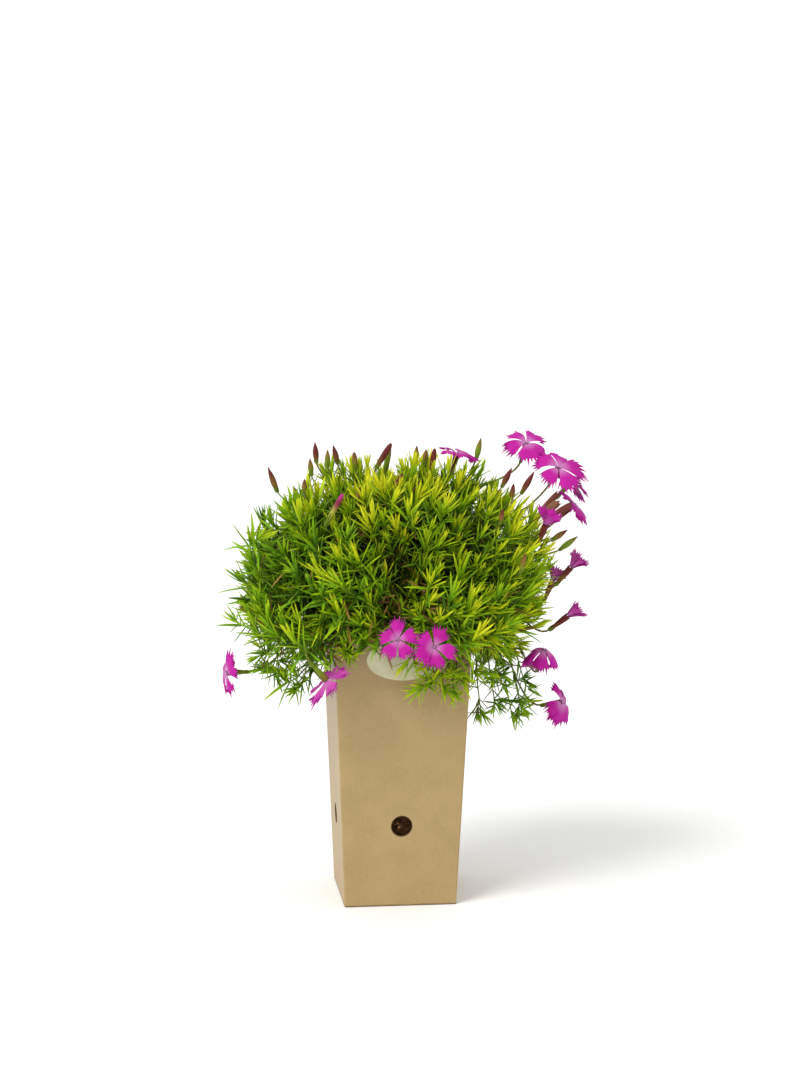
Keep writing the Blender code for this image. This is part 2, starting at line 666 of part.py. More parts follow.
def main():
    clear_scene()
    plant = collection_named("dianthus plant")
    cutters = collection_named("cutters")
    board = material_named("board", (0.47, 0.33, 0.17), 0.85)
    paper = material_named("label paper", (0.62, 0.60, 0.42), 0.6)
    earth = material_named("potting soil", (0.035, 0.02, 0.012), 0.95)
    foliage = material_named("foliage", (0.16, 0.30, 0.02), 0.55)
    calyx = material_named("calyx", (0.20, 0.12, 0.05), 0.55)
    petal = material_named("petal", (0.62, 0.02, 0.42), 0.55)

    pot = make_pot(plant, cutters, board)
    make_label(plant, paper)
    soil = make_soil(plant, cutters, earth)

    branches = Branches()
    for k in range(BRANCHES):
        core = core_of(branches, k, plant)
        core.data.materials.append(foliage)
        branches.cores.append(core)
        branches.surfaces.append(surface_of(core))
        branches.reserve(core, k)
    branches.reserve(pot)

    sockets = [[] for _ in range(BRANCHES)]
    for i, (name, throat, facing, opening, via) in enumerate(BLOOMS):
        throat = Vector(throat) * MM
        facing = Vector(facing).normalized()
        via = Vector(via) * MM if via else None
        stalk, k, socket = make_stalk(branches, "stalk_" + name, throat, facing, via, plant, cutters, calyx)
        sockets[k].append(socket)
        spin = i * GOLDEN_TURN
        corolla = make_corolla("petals_" + name, throat, facing, opening, spin, plant, cutters, petal)
        branches.reserve(stalk)
        branches.reserve(corolla)

    growth = [collection_named(f"growth_{k + 1:02d}") for k in range(BRANCHES)]
    for base, tip in BUDS:
        k, bud = bud_shape(branches, Vector(base) * MM, Vector(tip) * MM, growth)
        branches.reserve(bud, k)
    for number, tip in enumerate(HANGING_TIPS):
        k, path = hanging_path(branches, Vector(tip) * MM)
        add_hanging(branches, k, path, growth[k], random.Random(200 + number))

    directions = spread_over_dome(SHOOTS, LOWEST_SIDE, LOWEST_FRONT)
    for k, core in enumerate(branches.cores):
        draw = random.Random(k)
        path = stem_path(branches, k)
        radii = [STEM_RADIUS * (1 - 0.25 * i / len(path)) for i in range(len(path))]
        tube("stem", path, radii, 1, growth[k])
        for direction in directions:
            if branches.nearest(HEART + direction) == k:
                add_shoot(branches, k, direction, growth[k], draw)
        join_repeats(core, growth[k])
        for socket in sockets[k]:
            add_boolean(core, "DIFFERENCE", socket, "MANIFOLD")
        apply_modifiers(core)

        hole = rod(f"soil_hole_{k + 1:02d}", Vector((path[0].x, path[0].y, SOIL_TOP - STEM_HOLE_DEPTH)),
                   Vector((path[0].x, path[0].y, SOIL_TOP + 8 * MM)), STEM_RADIUS + SEAT_GAP, 8, cutters)
        add_boolean(soil, "DIFFERENCE", as_cutter(hole))


main()
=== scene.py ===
# %% [markdown]
# # A dianthus in flower in a tall board pot
#
# The real thing is a cushion plant: hundreds of short leafy shoots stand so close that together they make one
# soft dome, with toothed magenta blooms held at its edges. It grows in a tall, tapered square pot of brown
# solid board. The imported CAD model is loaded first. It fixes where every piece stands, and each cell below
# gives one kind of piece its real surface.
#
# Lengths in the formulas are in millimetres, because every part of this plant is small. One helper turns them
# into metres when a mesh is made.

import math

import bpy
import numpy as np
from mathutils import Matrix, Vector


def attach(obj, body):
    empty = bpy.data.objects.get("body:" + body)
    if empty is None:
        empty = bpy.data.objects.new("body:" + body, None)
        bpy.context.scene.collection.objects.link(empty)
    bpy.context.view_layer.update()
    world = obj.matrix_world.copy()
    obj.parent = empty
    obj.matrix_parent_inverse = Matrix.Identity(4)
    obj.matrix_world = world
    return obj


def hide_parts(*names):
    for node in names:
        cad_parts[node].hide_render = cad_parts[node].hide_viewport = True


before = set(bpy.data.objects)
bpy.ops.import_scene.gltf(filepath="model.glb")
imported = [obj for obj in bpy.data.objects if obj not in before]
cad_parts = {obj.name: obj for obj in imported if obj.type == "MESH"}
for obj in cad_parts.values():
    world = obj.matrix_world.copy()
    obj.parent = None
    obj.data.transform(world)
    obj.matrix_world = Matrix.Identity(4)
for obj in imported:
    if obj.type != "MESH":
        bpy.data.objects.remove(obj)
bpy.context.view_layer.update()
MM = 0.001

# %% [markdown]
# ## Camera, light and floor
#
# The camera's place was fitted to the pot's four visible corners in the photograph: it stands 1.4 m away, a
# little to the left and above, and is turned by a third of a degree. A perspective camera with a fixed place
# was chosen, and not a tracking one, so that the frame stays the same whatever is built.
#
# A white surround gives the shadowless look of a studio table. It is white round the horizon, where the
# camera sees it, and greyer overhead, so that the leaves keep dark gaps between them. One wide, soft sun from
# the upper left adds the gentle modelling. A sun was chosen over an area lamp because it lights the whole
# floor evenly, and the floor's far edge then melts into the white surround.

# %% Camera
CAMERA_PLACE = (-174.9, -1391.8, 404.9)
CAMERA_PAN = math.radians(-7.272)
CAMERA_TILT = math.radians(6.625)
CAMERA_ROLL = math.radians(0.354)
LONG_SIDE_PIXELS = 1067
FOCAL_PIXELS = 2135.4


def add_object(name, data):
    """Puts an object with this data into the scene."""
    made = bpy.data.objects.new(name, data)
    bpy.context.scene.collection.objects.link(made)
    return made


camera_data = bpy.data.cameras.new("camera")
camera_data.sensor_fit = "AUTO"
camera_data.sensor_width = 36
camera_data.lens = FOCAL_PIXELS / LONG_SIDE_PIXELS * camera_data.sensor_width
camera_data.clip_end = 50
camera = add_object("camera", camera_data)
back = Vector((
    math.sin(CAMERA_PAN) * math.cos(CAMERA_TILT),
    -math.cos(CAMERA_PAN) * math.cos(CAMERA_TILT),
    math.sin(CAMERA_TILT),
))
right = Vector((math.cos(CAMERA_PAN), math.sin(CAMERA_PAN), 0))
upright = Matrix((right, back.cross(right), back)).transposed()
camera.matrix_world = (
    Matrix.Translation(Vector(CAMERA_PLACE) * MM)
    @ (upright @ Matrix.Rotation(CAMERA_ROLL, 3, "Z")).to_4x4()
)
bpy.context.scene.camera = camera
print("camera lens:", round(camera_data.lens, 2), "mm")

# %% Light and floor
HORIZON_LIGHT, OVERHEAD_LIGHT = 1.28, 0.72
SUN_STRENGTH = 1.9
SUN_WIDTH = math.radians(28)
SUN_SIDE = (-0.62, -0.50, 0.80)
FLOOR_RADIUS = 14.0
FLOOR_SIDES = 64

bpy.context.scene.view_settings.view_transform = "Standard"
world = bpy.data.worlds.new("studio")
world.use_nodes = True
sky = world.node_tree
sky.nodes["Background"].inputs["Color"].default_value = (1, 1, 1, 1)
looking = sky.nodes.new("ShaderNodeTexCoord")
split = sky.nodes.new("ShaderNodeSeparateXYZ")
fade = sky.nodes.new("ShaderNodeMapRange")
fading = {"From Min": 0.12, "From Max": 0.85, "To Min": HORIZON_LIGHT, "To Max": OVERHEAD_LIGHT}
for socket, value in fading.items():
    fade.inputs[socket].default_value = value
sky.links.new(looking.outputs["Generated"], split.inputs[0])
sky.links.new(split.outputs["Z"], fade.inputs["Value"])
sky.links.new(fade.outputs[0], sky.nodes["Background"].inputs["Strength"])
bpy.context.scene.world = world

sun_data = bpy.data.lights.new("sun", "SUN")
sun_data.energy = SUN_STRENGTH
sun_data.angle = SUN_WIDTH
sun = add_object("sun", sun_data)
sun.rotation_euler = Vector(SUN_SIDE).to_track_quat("Z", "Y").to_euler()

floor_turn = np.arange(FLOOR_SIDES) * 2 * np.pi / FLOOR_SIDES
floor_points = FLOOR_RADIUS * np.column_stack((np.cos(floor_turn), np.sin(floor_turn), 0 * floor_turn))
floor_mesh = bpy.data.meshes.new("floor")
floor_mesh.from_pydata(floor_points.tolist(), [], [tuple(range(FLOOR_SIDES))])
floor = add_object("floor", floor_mesh)
floor.location.z = -0.2 * MM  # just under the pot, so that their faces don't meet
print("light and floor made")

# %% [markdown]
# ## Writing finishes as expressions
#
# A finish here is a node tree, but drawing one with dozens of separate link calls hides what it says. The
# class below wraps a socket, so that `0.6 * fleck + 0.4` adds the Math nodes by itself. Colours go through Mix
# nodes. Numbers that don't vary are worked out in Python and set on the shader's own socket.

# %% Sockets with arithmetic


def arithmetic(operation, swapped=False):
    """A method that adds a Math node to the wire's finish. Swapped puts the wire second."""
    def method(self, other):
        return self.finish.maths(operation, *((other, self) if swapped else (self, other)))
    return method


class Wire:
    """A value that varies over a surface. Arithmetic on it adds Math nodes to its finish."""

    __add__ = __radd__ = arithmetic("ADD")
    __mul__ = __rmul__ = arithmetic("MULTIPLY")
    __sub__ = arithmetic("SUBTRACT")
    __rsub__ = arithmetic("SUBTRACT", swapped=True)
    __pow__ = arithmetic("POWER")

    def __init__(self, finish, socket):
        self.finish = finish
        self.socket = socket

    def step(self, low, high):
        """Rises smoothly from 0 at low to 1 at high, or falls where low is above high."""
        settings = {"interpolation_type": "SMOOTHSTEP"}
        low_end, high_end = (low, high) if low < high else (high, low)
        sockets = {"Value": self, "From Min": low_end, "From Max": high_end}
        rising = self.finish.node("ShaderNodeMapRange", settings, sockets)
        return rising if low < high else 1 - rising

    def wave(self):
        """Its sine, brought between 0 and 1."""
        return self.finish.maths("SINE", self, 0.0) * 0.5 + 0.5


class Finish:
    """A material whose Principled shader is filled from expressions."""

    def __init__(self, name, roughness, shine=0.5):
        self.material = bpy.data.materials.new(name)
        self.material.use_nodes = True
        self.tree = self.material.node_tree
        self.shader = self.tree.nodes["Principled BSDF"]
        self.shader.inputs["Roughness"].default_value = roughness
        self.shader.inputs["Specular IOR Level"].default_value = shine

    def node(self, kind, settings, sockets, output=0):
        """Adds a node: its settings first, then the values or wires of its sockets."""
        made = self.tree.nodes.new(kind)
        for name, value in settings.items():
            setattr(made, name, value)
        for name, value in sockets.items():
            if isinstance(value, Wire):
                self.tree.links.new(value.socket, made.inputs[name])
            else:
                made.inputs[name].default_value = value
        return Wire(self, made.outputs[output])

    def maths(self, operation, first, second):
        return self.node("ShaderNodeMath", {"operation": operation}, {0: first, 1: second})

    def mix(self, share, first, second):
        """The first colour where share is 0, the second where it is 1."""
        colours = {6: first, 7: second}
        colours = {k: c if isinstance(c, Wire) else (*c, 1) for k, c in colours.items()}
        return self.node("ShaderNodeMix", {"data_type": "RGBA"}, {0: share, **colours}, 2)

    def place(self, scale=1.0, stretch=(1, 1, 1)):
        """Object coordinates in millimetres times scale, stretched along the axes."""
        where = self.node("ShaderNodeTexCoord", {}, {}, "Object")
        size = tuple(s * scale / MM for s in stretch)
        return self.node("ShaderNodeMapping", {}, {"Vector": where, "Scale": size})

    def axis(self, vector, letter):
        return self.node("ShaderNodeSeparateXYZ", {}, {0: vector}, letter)

    def noise(self, scale, detail=3.0, roughness=0.55, stretch=(1, 1, 1)):
        where = self.place(scale, stretch)
        sockets = {"Vector": where, "Scale": 1.0, "Detail": detail, "Roughness": roughness}
        return self.node("ShaderNodeTexNoise", {}, sockets, "Fac")

    def cells(self, scale, stretch=(1, 1, 1)):
        """Distance to the middle of the nearest of many random cells."""
        sockets = {"Vector": self.place(scale, stretch), "Scale": 1.0}
        return self.node("ShaderNodeTexVoronoi", {}, sockets, "Distance")

    def tint(self, letter):
        """One channel of the colour attribute that every new piece carries."""
        if letter == "Alpha":
            return self.node("ShaderNodeAttribute", {"attribute_name": "tint"}, {}, "Alpha")
        colour = self.node("ShaderNodeAttribute", {"attribute_name": "tint"}, {}, "Color")
        return self.node("ShaderNodeSeparateColor", {}, {0: colour}, letter)

    def along(self, letter):
        """One coordinate of the piece's UV map: X across, Y along."""
        where = self.node("ShaderNodeUVMap", {"uv_map": "surface"}, {})
        return self.axis(where, letter)

    def wear(self, colour, *coats, roughness=None, bump=None, depth=0.1):
        """Puts on a ground colour, then coats, each a share and a colour. Depth is the bump's, in mm."""
        for share, coat in coats:
            colour = self.mix(share, colour, coat)
        wires = {"Base Color": colour, "Roughness": roughness}
        if bump is not None:
            sockets = {"Height": bump, "Distance": depth * MM, "Strength": 1.0}
            wires["Normal"] = self.node("ShaderNodeBump", {}, sockets, "Normal")
        for socket, wire in wires.items():
            if wire is not None:
                self.tree.links.new(wire.socket, self.shader.inputs[socket])


# %% [markdown]
# ## Shapes as arrays
#
# Every new piece is a set of points worked out with numpy, with its triangles. Two coordinates travel with
# each point: a UV pair, across and along the piece, and a tint of four numbers that says how old, how random
# or how dry that spot is, and on leaves and stems how much painted shade it gets for its depth. The finishes
# read them, so one finish serves thousands of leaves that all differ.

# %% Shape helpers


class Shape:
    """Points in mm, triangles, UV pairs and tints. Shapes add up to one shape."""

    def __init__(self, points, triangles, uv, tint):
        self.points = points.reshape(-1, 3)
        self.triangles = triangles.reshape(-1, 3)
        self.uv = uv.reshape(-1, 2)
        self.tint = tint.reshape(-1, 4)

    def __add__(self, other):
        return Shape(
            np.vstack((self.points, other.points)),
            np.vstack((self.triangles, other.triangles + len(self.points))),
            np.vstack((self.uv, other.uv)),
            np.vstack((self.tint, other.tint)),
        )

    def __radd__(self, _):
        """Lets sum() start from 0."""
        return self


def unit(vectors):
    vectors = np.asarray(vectors, float)
    return vectors / np.maximum(np.linalg.norm(vectors, axis=-1, keepdims=True), 1e-9)


def polar(turn, radius=1.0):
    """Level x and y at a radius, for each turn in radians."""
    return radius * np.cos(turn), radius * np.sin(turn)


def turns(sides):
    """Even turns round a circle."""
    return np.arange(sides) * 2 * np.pi / sides


def grid_triangles(rows, columns, wrapped):
    """Two triangles for each cell of a grid whose point (r, c) has number r * columns + c."""
    r, c = np.meshgrid(np.arange(rows - 1), np.arange(columns if wrapped else columns - 1), indexing="ij")
    a = r * columns + c
    b = r * columns + (c + 1) % columns
    return np.stack((a, b, b + columns, a, b + columns, a + columns), -1).reshape(-1, 3)


def capped_wall(rows, columns):
    """A wall between rings, and a fan at either end to two more points, the first ring's and the last's."""
    size = rows * columns
    side = np.arange(columns)
    following = (side + 1) % columns
    top = size - columns
    return np.vstack((
        grid_triangles(rows, columns, True),
        np.column_stack((following, side, np.full(columns, size))),
        np.column_stack((side + top, following + top, np.full(columns, size + 1))),
    ))


def copies(points, triangles, uv, tints):
    """Many copies of a form: points is copies x points x 3. One form's triangles and UV pairs serve them all."""
    count, size = points.shape[:2]
    triangles = triangles[None] + (np.arange(count) * size)[:, None, None]
    tints = np.broadcast_to(np.asarray(tints, float).reshape(-1, 1, 4), (count, size, 4))
    return Shape(points, triangles, np.tile(uv, (count, 1, 1)), np.array(tints))


def closed_rings(rings, first, last, uv, tint):
    """Closes rows x columns x 3 points with the points first and last.

    Faces look outward where each ring runs counterclockwise about the way from first to last.
    """
    rows, columns = rings.shape[:2]
    size = rows * columns
    triangles = capped_wall(rows, columns)
    points = np.vstack((rings.reshape(-1, 3), first, last))
    uv = np.vstack((uv.reshape(-1, 2), uv[0].mean(0), uv[-1].mean(0)))
    return Shape(points, triangles, uv, np.tile(np.array(tint, float), (size + 2, 1)))


def closed_tubes(centres, radii, sides, tint):
    """Tubes along many paths at once: centres is paths x stations x 3, radii is paths x stations.

    Around each centre the points lie on a circle square to the path. Both ends close in a fan to their own
    centre, so that each tube is a solid.
    """
    paths, stations = radii.shape
    ways = unit(np.gradient(centres, axis=1))
    helper = np.where(np.abs(ways[:, :1, 2:]) < 0.8, (0.0, 0.0, 1.0), (1.0, 0.0, 0.0))
    across = unit(np.cross(ways, helper))
    over = np.cross(ways, across)
    turn = turns(sides)
    ring = across[:, :, None] * np.cos(turn)[:, None] + over[:, :, None] * np.sin(turn)[:, None]
    points = centres[:, :, None] + ring * radii[:, :, None, None]
    points = np.concatenate((points.reshape(paths, -1, 3), centres[:, :1], centres[:, -1:]), 1)
    along = np.repeat(np.linspace(0, 1, stations), sides)
    around = np.tile(turn / (2 * np.pi), stations)
    uv = np.vstack((np.column_stack((around, along)), ((0.5, 0), (0.5, 1))))
    return copies(points, capped_wall(stations, sides), uv, tint)


def bezier(controls, t):
    """Points of many cubics: controls is paths x 4 x 3 and t is paths x stations."""
    s = 1 - t
    weights = np.stack((s**3, 3 * s * s * t, 3 * s * t * t, t**3), -1)
    return np.einsum("pkw,pwd->pkd", weights, controls)


def bezier_way(controls, t):
    """Unit tangents of the same cubics."""
    s = 1 - t
    weights = np.stack((-s * s, s * s - 2 * s * t, 2 * s * t - t * t, t * t), -1)
    return unit(np.einsum("pkw,pwd->pkd", weights, controls))


def cubic_tubes(controls, stations, first, last, sides, tint):
    """Tubes along cubics whose radius goes evenly from first to last."""
    controls = np.asarray(controls, float).reshape(-1, 4, 3)
    t = np.broadcast_to(np.linspace(0, 1, stations), (len(controls), stations))
    return closed_tubes(bezier(controls, t), first + (last - first) * t, sides, tint)


def add_piece(name, shape, material, replaced=(), sharp_above=50):
    """Makes the mesh in metres, with its UV map and tints, and lets it ride with the pot."""
    mesh = bpy.data.meshes.new(name)
    count = len(shape.triangles)
    corners = shape.triangles.astype(np.int32).ravel()
    mesh.vertices.add(len(shape.points))
    mesh.vertices.foreach_set("co", (shape.points * MM).astype(np.float32).ravel())
    mesh.loops.add(count * 3)
    mesh.loops.foreach_set("vertex_index", corners)
    mesh.polygons.add(count)
    mesh.polygons.foreach_set("loop_start", np.arange(count, dtype=np.int32) * 3)
    mesh.update(calc_edges=True)
    layer = mesh.uv_layers.new(name="surface")
    layer.data.foreach_set("uv", shape.uv[corners].astype(np.float32).ravel())
    tint = mesh.color_attributes.new("tint", "FLOAT_COLOR", "POINT")
    tint.data.foreach_set("color", shape.tint.astype(np.float32).ravel())
    mesh.validate()
    mesh.shade_smooth()
    mesh.set_sharp_from_angle(angle=math.radians(sharp_above))
    mesh.materials.append(material)
    piece = add_object(name, mesh)
    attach(piece, "root")
    if replaced:
        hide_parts(*replaced)
    return piece


# %% [markdown]
# ## The pot
#
# The pot is folded from one blank of solid board, made of pulped waste paper: mid brown, matte, with short
# fibres and dark specks pressed into it. The CAD walls, folds and holes are right already, so the node stays
# and gets the finish alone. Object coordinates are used, since the board's specks don't follow any surface
# direction. The board is darker in a thin ring round each hole, so a mask follows the holes' radius, and in a
# thin band at the foot, which is partly the cut edge's own dark line and partly a painted contact shadow.

# %% Board finish
POT_HEIGHT = 180
FOOT_HALF = 37
RIM_HALF = 45
BOARD = 1.8
HOLE_RADIUS = 6.9
HOLE_HEIGHT = 54


def wall_at(height):
    """Half the pot's outer width at a height."""
    return FOOT_HALF + (RIM_HALF - FOOT_HALF) * height / POT_HEIGHT


board = Finish("solid_board", 0.5, 0.55)
where = board.place()
height = board.axis(where, "Z")
x, y = board.axis(where, "X"), board.axis(where, "Y")
cloudy = board.noise(0.05, 3.0)
fibre = board.noise(0.9, 4.0, 0.7, (1, 1, 0.35))
speck_size = board.noise(0.35, 2.0)
dark_speck = board.cells(0.42).step(0.16, 0.08) * speck_size.step(0.48, 0.62)
pale_speck = board.cells(0.55, (1, 1, 0.6)).step(0.20, 0.10) * speck_size.step(0.52, 0.42)
from_hole = ((board.maths("MINIMUM", x * x, y * y) + (height - HOLE_HEIGHT) ** 2) ** 0.5) - HOLE_RADIUS
hole_rim_dark = (from_hole + cloudy * 0.6).step(0.75, 0.35) * 0.8
# The foot band is partly the cut edge's own dark line and partly a painted contact shadow.
foot = (height + cloudy * 1.2).step(1.9, 0.9) * 0.8
board.wear(
    (0.355, 0.238, 0.092),
    (cloudy.step(0.3, 0.7), (0.320, 0.212, 0.080)),
    (fibre.step(0.35, 0.7) * 0.35, (0.41, 0.29, 0.125)),
    (pale_speck * 0.45, (0.50, 0.38, 0.22)),
    (dark_speck * 0.7, (0.17, 0.095, 0.04)),
    (board.maths("MAXIMUM", hole_rim_dark, foot), (0.10, 0.05, 0.02)),
    roughness=fibre * 0.16 + 0.36,
    bump=fibre * 0.6 + dark_speck * 0.3 + cloudy * 0.5,
    depth=0.06,
)
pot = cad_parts["pot"]
pot.data.materials.clear()
pot.data.materials.append(board.material)
print("pot finished:", len(pot.data.polygons), "faces")

# %% [markdown]
# ## The label
#
# An oval of thin uncoated paper is glued under the rim. Its printing is left out, so it is a bare pale oval.
# The piece is a smooth oval sheet: rings shrink towards the middle, and the edge lifts by a tenth of a
# millimetre, as glued paper does when the board gets damp.

# %% Label
LABEL_HALF_WIDTH = 24
LABEL_HALF_LENGTH = 13.5
LABEL_MIDDLE = 165
POT_TAPER = math.atan((RIM_HALF - FOOT_HALF) / POT_HEIGHT)
PAPER = 0.2
GLUE = 0.1


def label_sheet(rings, sides):
    """Rings run from the front's middle to its edge, and back to the middle on the underside.

    A ring lies at a share of the oval's size, and the edge lifts with the share to the sixth.
    """
    outward = np.linspace(0.05, 1, rings)
    share = np.concatenate((outward, outward[::-1]))[:, None]
    proud = np.where(np.arange(2 * rings) < rings, GLUE + PAPER, GLUE)[:, None]
    turn = turns(sides)
    across = share * np.cos(turn) * LABEL_HALF_WIDTH
    along = share * -np.sin(turn) * LABEL_HALF_LENGTH
    lift = 0.12 * share**6 * (1 + 0.8 * np.sin(3 * turn + 1))
    out = wall_at(LABEL_MIDDLE) + (proud + lift) * math.cos(POT_TAPER) + along * math.sin(POT_TAPER)
    points = np.stack((across, -out, LABEL_MIDDLE + along * math.cos(POT_TAPER)), -1)
    uv = np.stack((across / LABEL_HALF_WIDTH, along / LABEL_HALF_LENGTH), -1) * 0.5 + 0.5
    front, behind = points[0].mean(0), points[-1].mean(0)
    return closed_rings(points, front, behind, uv, (1, 1, 1, 1))


paper = Finish("label_paper", 0.55)
paper_grain = paper.noise(1.6, 4.0, 0.7)
paper_cloud = paper.noise(0.12, 2.0)
paper.wear(
    (0.62, 0.585, 0.385),
    (paper_grain.step(0.3, 0.7), (0.68, 0.64, 0.43)),
    (paper_cloud.step(0.35, 0.75) * 0.5, (0.51, 0.48, 0.30)),
    roughness=paper_grain * 0.2 + 0.45,
    bump=paper_grain,
    depth=0.02,
)
label = add_piece("paper_label", label_sheet(14, 96), paper.material, ["label"])
print("label:", len(label.data.polygons), "faces")

# %% [markdown]
# ## The cushion's form
#
# The dome is a squarish, flattened ball about a heart 20 mm above the rim. Its leaf tips lie on a
# superellipse: (level reach / half width) and (rise / height), each to the power 2.5, add up to 1. It hangs
# lower at the sides than in front, and a few soft swells make it as uneven as the real one. Thirteen
# branches share it, each with the part nearest to its own direction. The dome sinks a little along the seams
# between them and a lot in one deep cleft, which is where the dark gaps show.

# %% Dome and branches
HEART = np.array((0.0, 0.0, 200.0))
BRANCHES = 13
GOLDEN_TURN = math.pi * (3 - math.sqrt(5))
FRONT_REACH, SIDE_REACH = 92, 108
RISE, FRONT_FALL, SIDE_FALL = 95, 20, 60
SQUARENESS = 2.5
# Where a swell stands, how wide it is in degrees, and by what share the dome stands out there, or in.
SWELLS = (
    ((0.62, 0.00, 0.78), 24, 0.08),
    ((0.97, 0.00, -0.25), 22, -0.07),
    ((-0.75, 0.00, 0.66), 24, -0.04),
)
CLEFT = (
    (-0.04, -0.85, 0.53), (-0.08, -0.93, 0.37), (-0.12, -0.96, 0.25), (-0.22, -0.97, 0.10), (-0.19, -0.98, -0.04),
)
CLEFT_WIDTH = 9.5
SEAM_WIDTH = 0.085
# Painted shade is full at the dark share of the dome's radius and fades out by the light share.
DARK_SHARE, LIGHT_SHARE = 0.55, 0.87


def bump(directions, middle, width):
    """1 at the middle direction, falling off with the squared angle over the width in degrees."""
    angle = np.degrees(np.arccos(np.clip(directions @ unit(middle), -1, 1)))
    return np.exp(-((angle / width) ** 2))


def cushion_radius(direction):
    """Distance from the heart to the leaf tips along unit directions."""
    level = np.hypot(direction[..., 0], direction[..., 1])
    sideways = direction[..., 0] ** 2 / np.maximum(level**2, 1e-9)
    reach = FRONT_REACH + (SIDE_REACH - FRONT_REACH) * sideways
    fall = FRONT_FALL + (SIDE_FALL - FRONT_FALL) * sideways
    height = np.where(direction[..., 2] > 0, RISE, fall)
    summed = (level / reach) ** SQUARENESS + (np.abs(direction[..., 2]) / height) ** SQUARENESS
    radius = summed ** (-1 / SQUARENESS)
    return radius * (1 + sum(share * bump(direction, middle, width) for middle, width, share in SWELLS))


def cleft(directions):
    """1 in the deep cleft, 0 away from it."""
    return np.max([bump(directions, middle, CLEFT_WIDTH) for middle in CLEFT], axis=0)


def painted_depth_shade(points):
    """How much a point is spared the painted shade: 0 deep inside the cushion, 1 near its leaf tips and outside it.
    The cleft counts as a little deeper, so it gets more painted shade.
    """
    out = points - HEART
    distance = np.linalg.norm(out, axis=-1)
    share = distance / cushion_radius(unit(out)) - 0.06 * cleft(unit(out))
    return np.clip((share - DARK_SHARE) / (LIGHT_SHARE - DARK_SHARE), 0, 1)


def spread_over_dome(count, lowest_side, lowest_front):
    """Even directions by the golden angle. Angles are the greatest fall from straight up, in degrees."""
    i = np.arange(count)
    turn = i * GOLDEN_TURN
    front, side = math.radians(lowest_front), math.radians(lowest_side)
    lowest = front + (side - front) * np.cos(turn) ** 2
    fall = np.arccos(1 - (1 - np.cos(lowest)) * (i + 0.5) / count)
    return np.stack((*polar(turn, np.sin(fall)), np.cos(fall)), -1)


branch_ways = spread_over_dome(BRANCHES, 98, 98)


def nearest_branch(directions):
    """Each direction's branch, and a seam value that is 1 on the border between two branches."""
    nearness = directions @ branch_ways.T
    order = np.sort(nearness, axis=1)
    return nearness.argmax(1), np.exp(-(((order[:, -1] - order[:, -2]) / SEAM_WIDTH) ** 2))


# %% [markdown]
# ## One needle leaf
#
# A dianthus leaf is a narrow blade, flat or slightly hollow above and keeled below, that ends in a point. It
# is made as four lines of points, left edge, hollow, right edge and keel, which run along a gently bent
# centreline and meet at the tip. Thousands are worked out in one array, so each has only thirty faces. The
# tint's last channel notes how deep in the cushion each point lies, so that the finishes can paint shade
# that deepens towards the inside.

# %% Leaf blades
LEAF_STATIONS = np.array((0.0, 0.28, 0.58, 0.84))
LEAF_PROFILE = np.array((0.78, 1.0, 0.86, 0.50))
LEAF_HOLLOW, LEAF_KEEL = 0.22, 0.75


def leaf_blades(roots, ways, faces_up, lengths, widths, bends, sags, tints):
    """Leaves from roots along unit ways. faces_up is where the upper face looks.

    The centreline is root + length * (t * way - bend * t^2 * face_up - sag * t^2 * z).
    """
    count = len(roots)
    t = np.append(LEAF_STATIONS, 1.0)[None, :, None]
    arch = bends[:, None, None] * faces_up[:, None] + sags[:, None, None] * np.array((0, 0, 1.0))
    middle = roots[:, None] + lengths[:, None, None] * (t * ways[:, None] - t**2 * arch)
    heading = unit(ways[:, None] - 2 * t * arch)
    side = unit(np.cross(heading, faces_up[:, None]))
    over = np.cross(side, heading)
    half = (widths[:, None] / 2 * LEAF_PROFILE)[..., None]
    centre, side, over = middle[:, :-1], side[:, :-1], over[:, :-1]
    section = (side * half, over * half * -LEAF_HOLLOW, -side * half, over * half * -LEAF_KEEL)
    body = np.stack([centre + offset for offset in section], 2)
    points = np.concatenate((body.reshape(count, -1, 3), middle[:, -1:]), 1)
    rings = len(LEAF_STATIONS)
    wall = grid_triangles(rings, 4, True)
    last = (rings - 1) * 4
    corner = np.arange(4)
    tip = np.column_stack((corner + last, (corner + 1) % 4 + last, np.full(4, rings * 4)))
    root = np.array(((2, 1, 0), (3, 2, 0)))
    across = np.tile((0.0, 0.5, 1.0, 0.5), rings)
    along = np.repeat(LEAF_STATIONS, 4)
    uv = np.vstack((np.column_stack((across, along)), (0.5, 1.0)))
    leaves = copies(points, np.vstack((wall, tip, root)), uv, tints)
    leaves.tint[:, 3] = painted_depth_shade(leaves.points)
    return leaves


# %% [markdown]
# ## Shoots
#
# Leaves stand in crossed pairs. At a shoot's tip the pairs crowd into an upright yellow tuft, and further
# down they spread, darken and at last dry out. Distances, spreads and lengths per pair are short rows of
# numbers, read like a botanist's drawing: first the youngest pair at the tip, last the oldest.

# %% Crossed pairs on shoots
PAIR_DISTANCE = np.array((0.0, 1.3, 3.0, 5.2, 8.0, 11.4, 15.4, 20.0, 25.0))
PAIR_SPREAD = np.array((6, 13, 21, 30, 39, 48, 57, 66, 76))
PAIR_LENGTH = np.array((10.0, 13.0, 16.0, 17.5, 18.5, 18.5, 18.0, 17.0, 15.0))
PAIR_BEND = np.array((-0.02, -0.01, 0.0, 0.02, 0.05, 0.08, 0.10, 0.12, 0.14))
PAIR_YOUTH = np.array((1.0, 0.96, 0.88, 0.75, 0.60, 0.45, 0.32, 0.20, 0.10))
LEAF_WIDTH = 1.85


def hidden_by_pot(points):
    """True where points (leaves x samples x 3) enter the pot or come within a millimetre of its walls."""
    inside = np.abs(points[..., :2]).max(-1) < wall_at(points[..., 2]) + 0.9
    return (inside & (points[..., 2] < POT_HEIGHT + 1)).any(1)


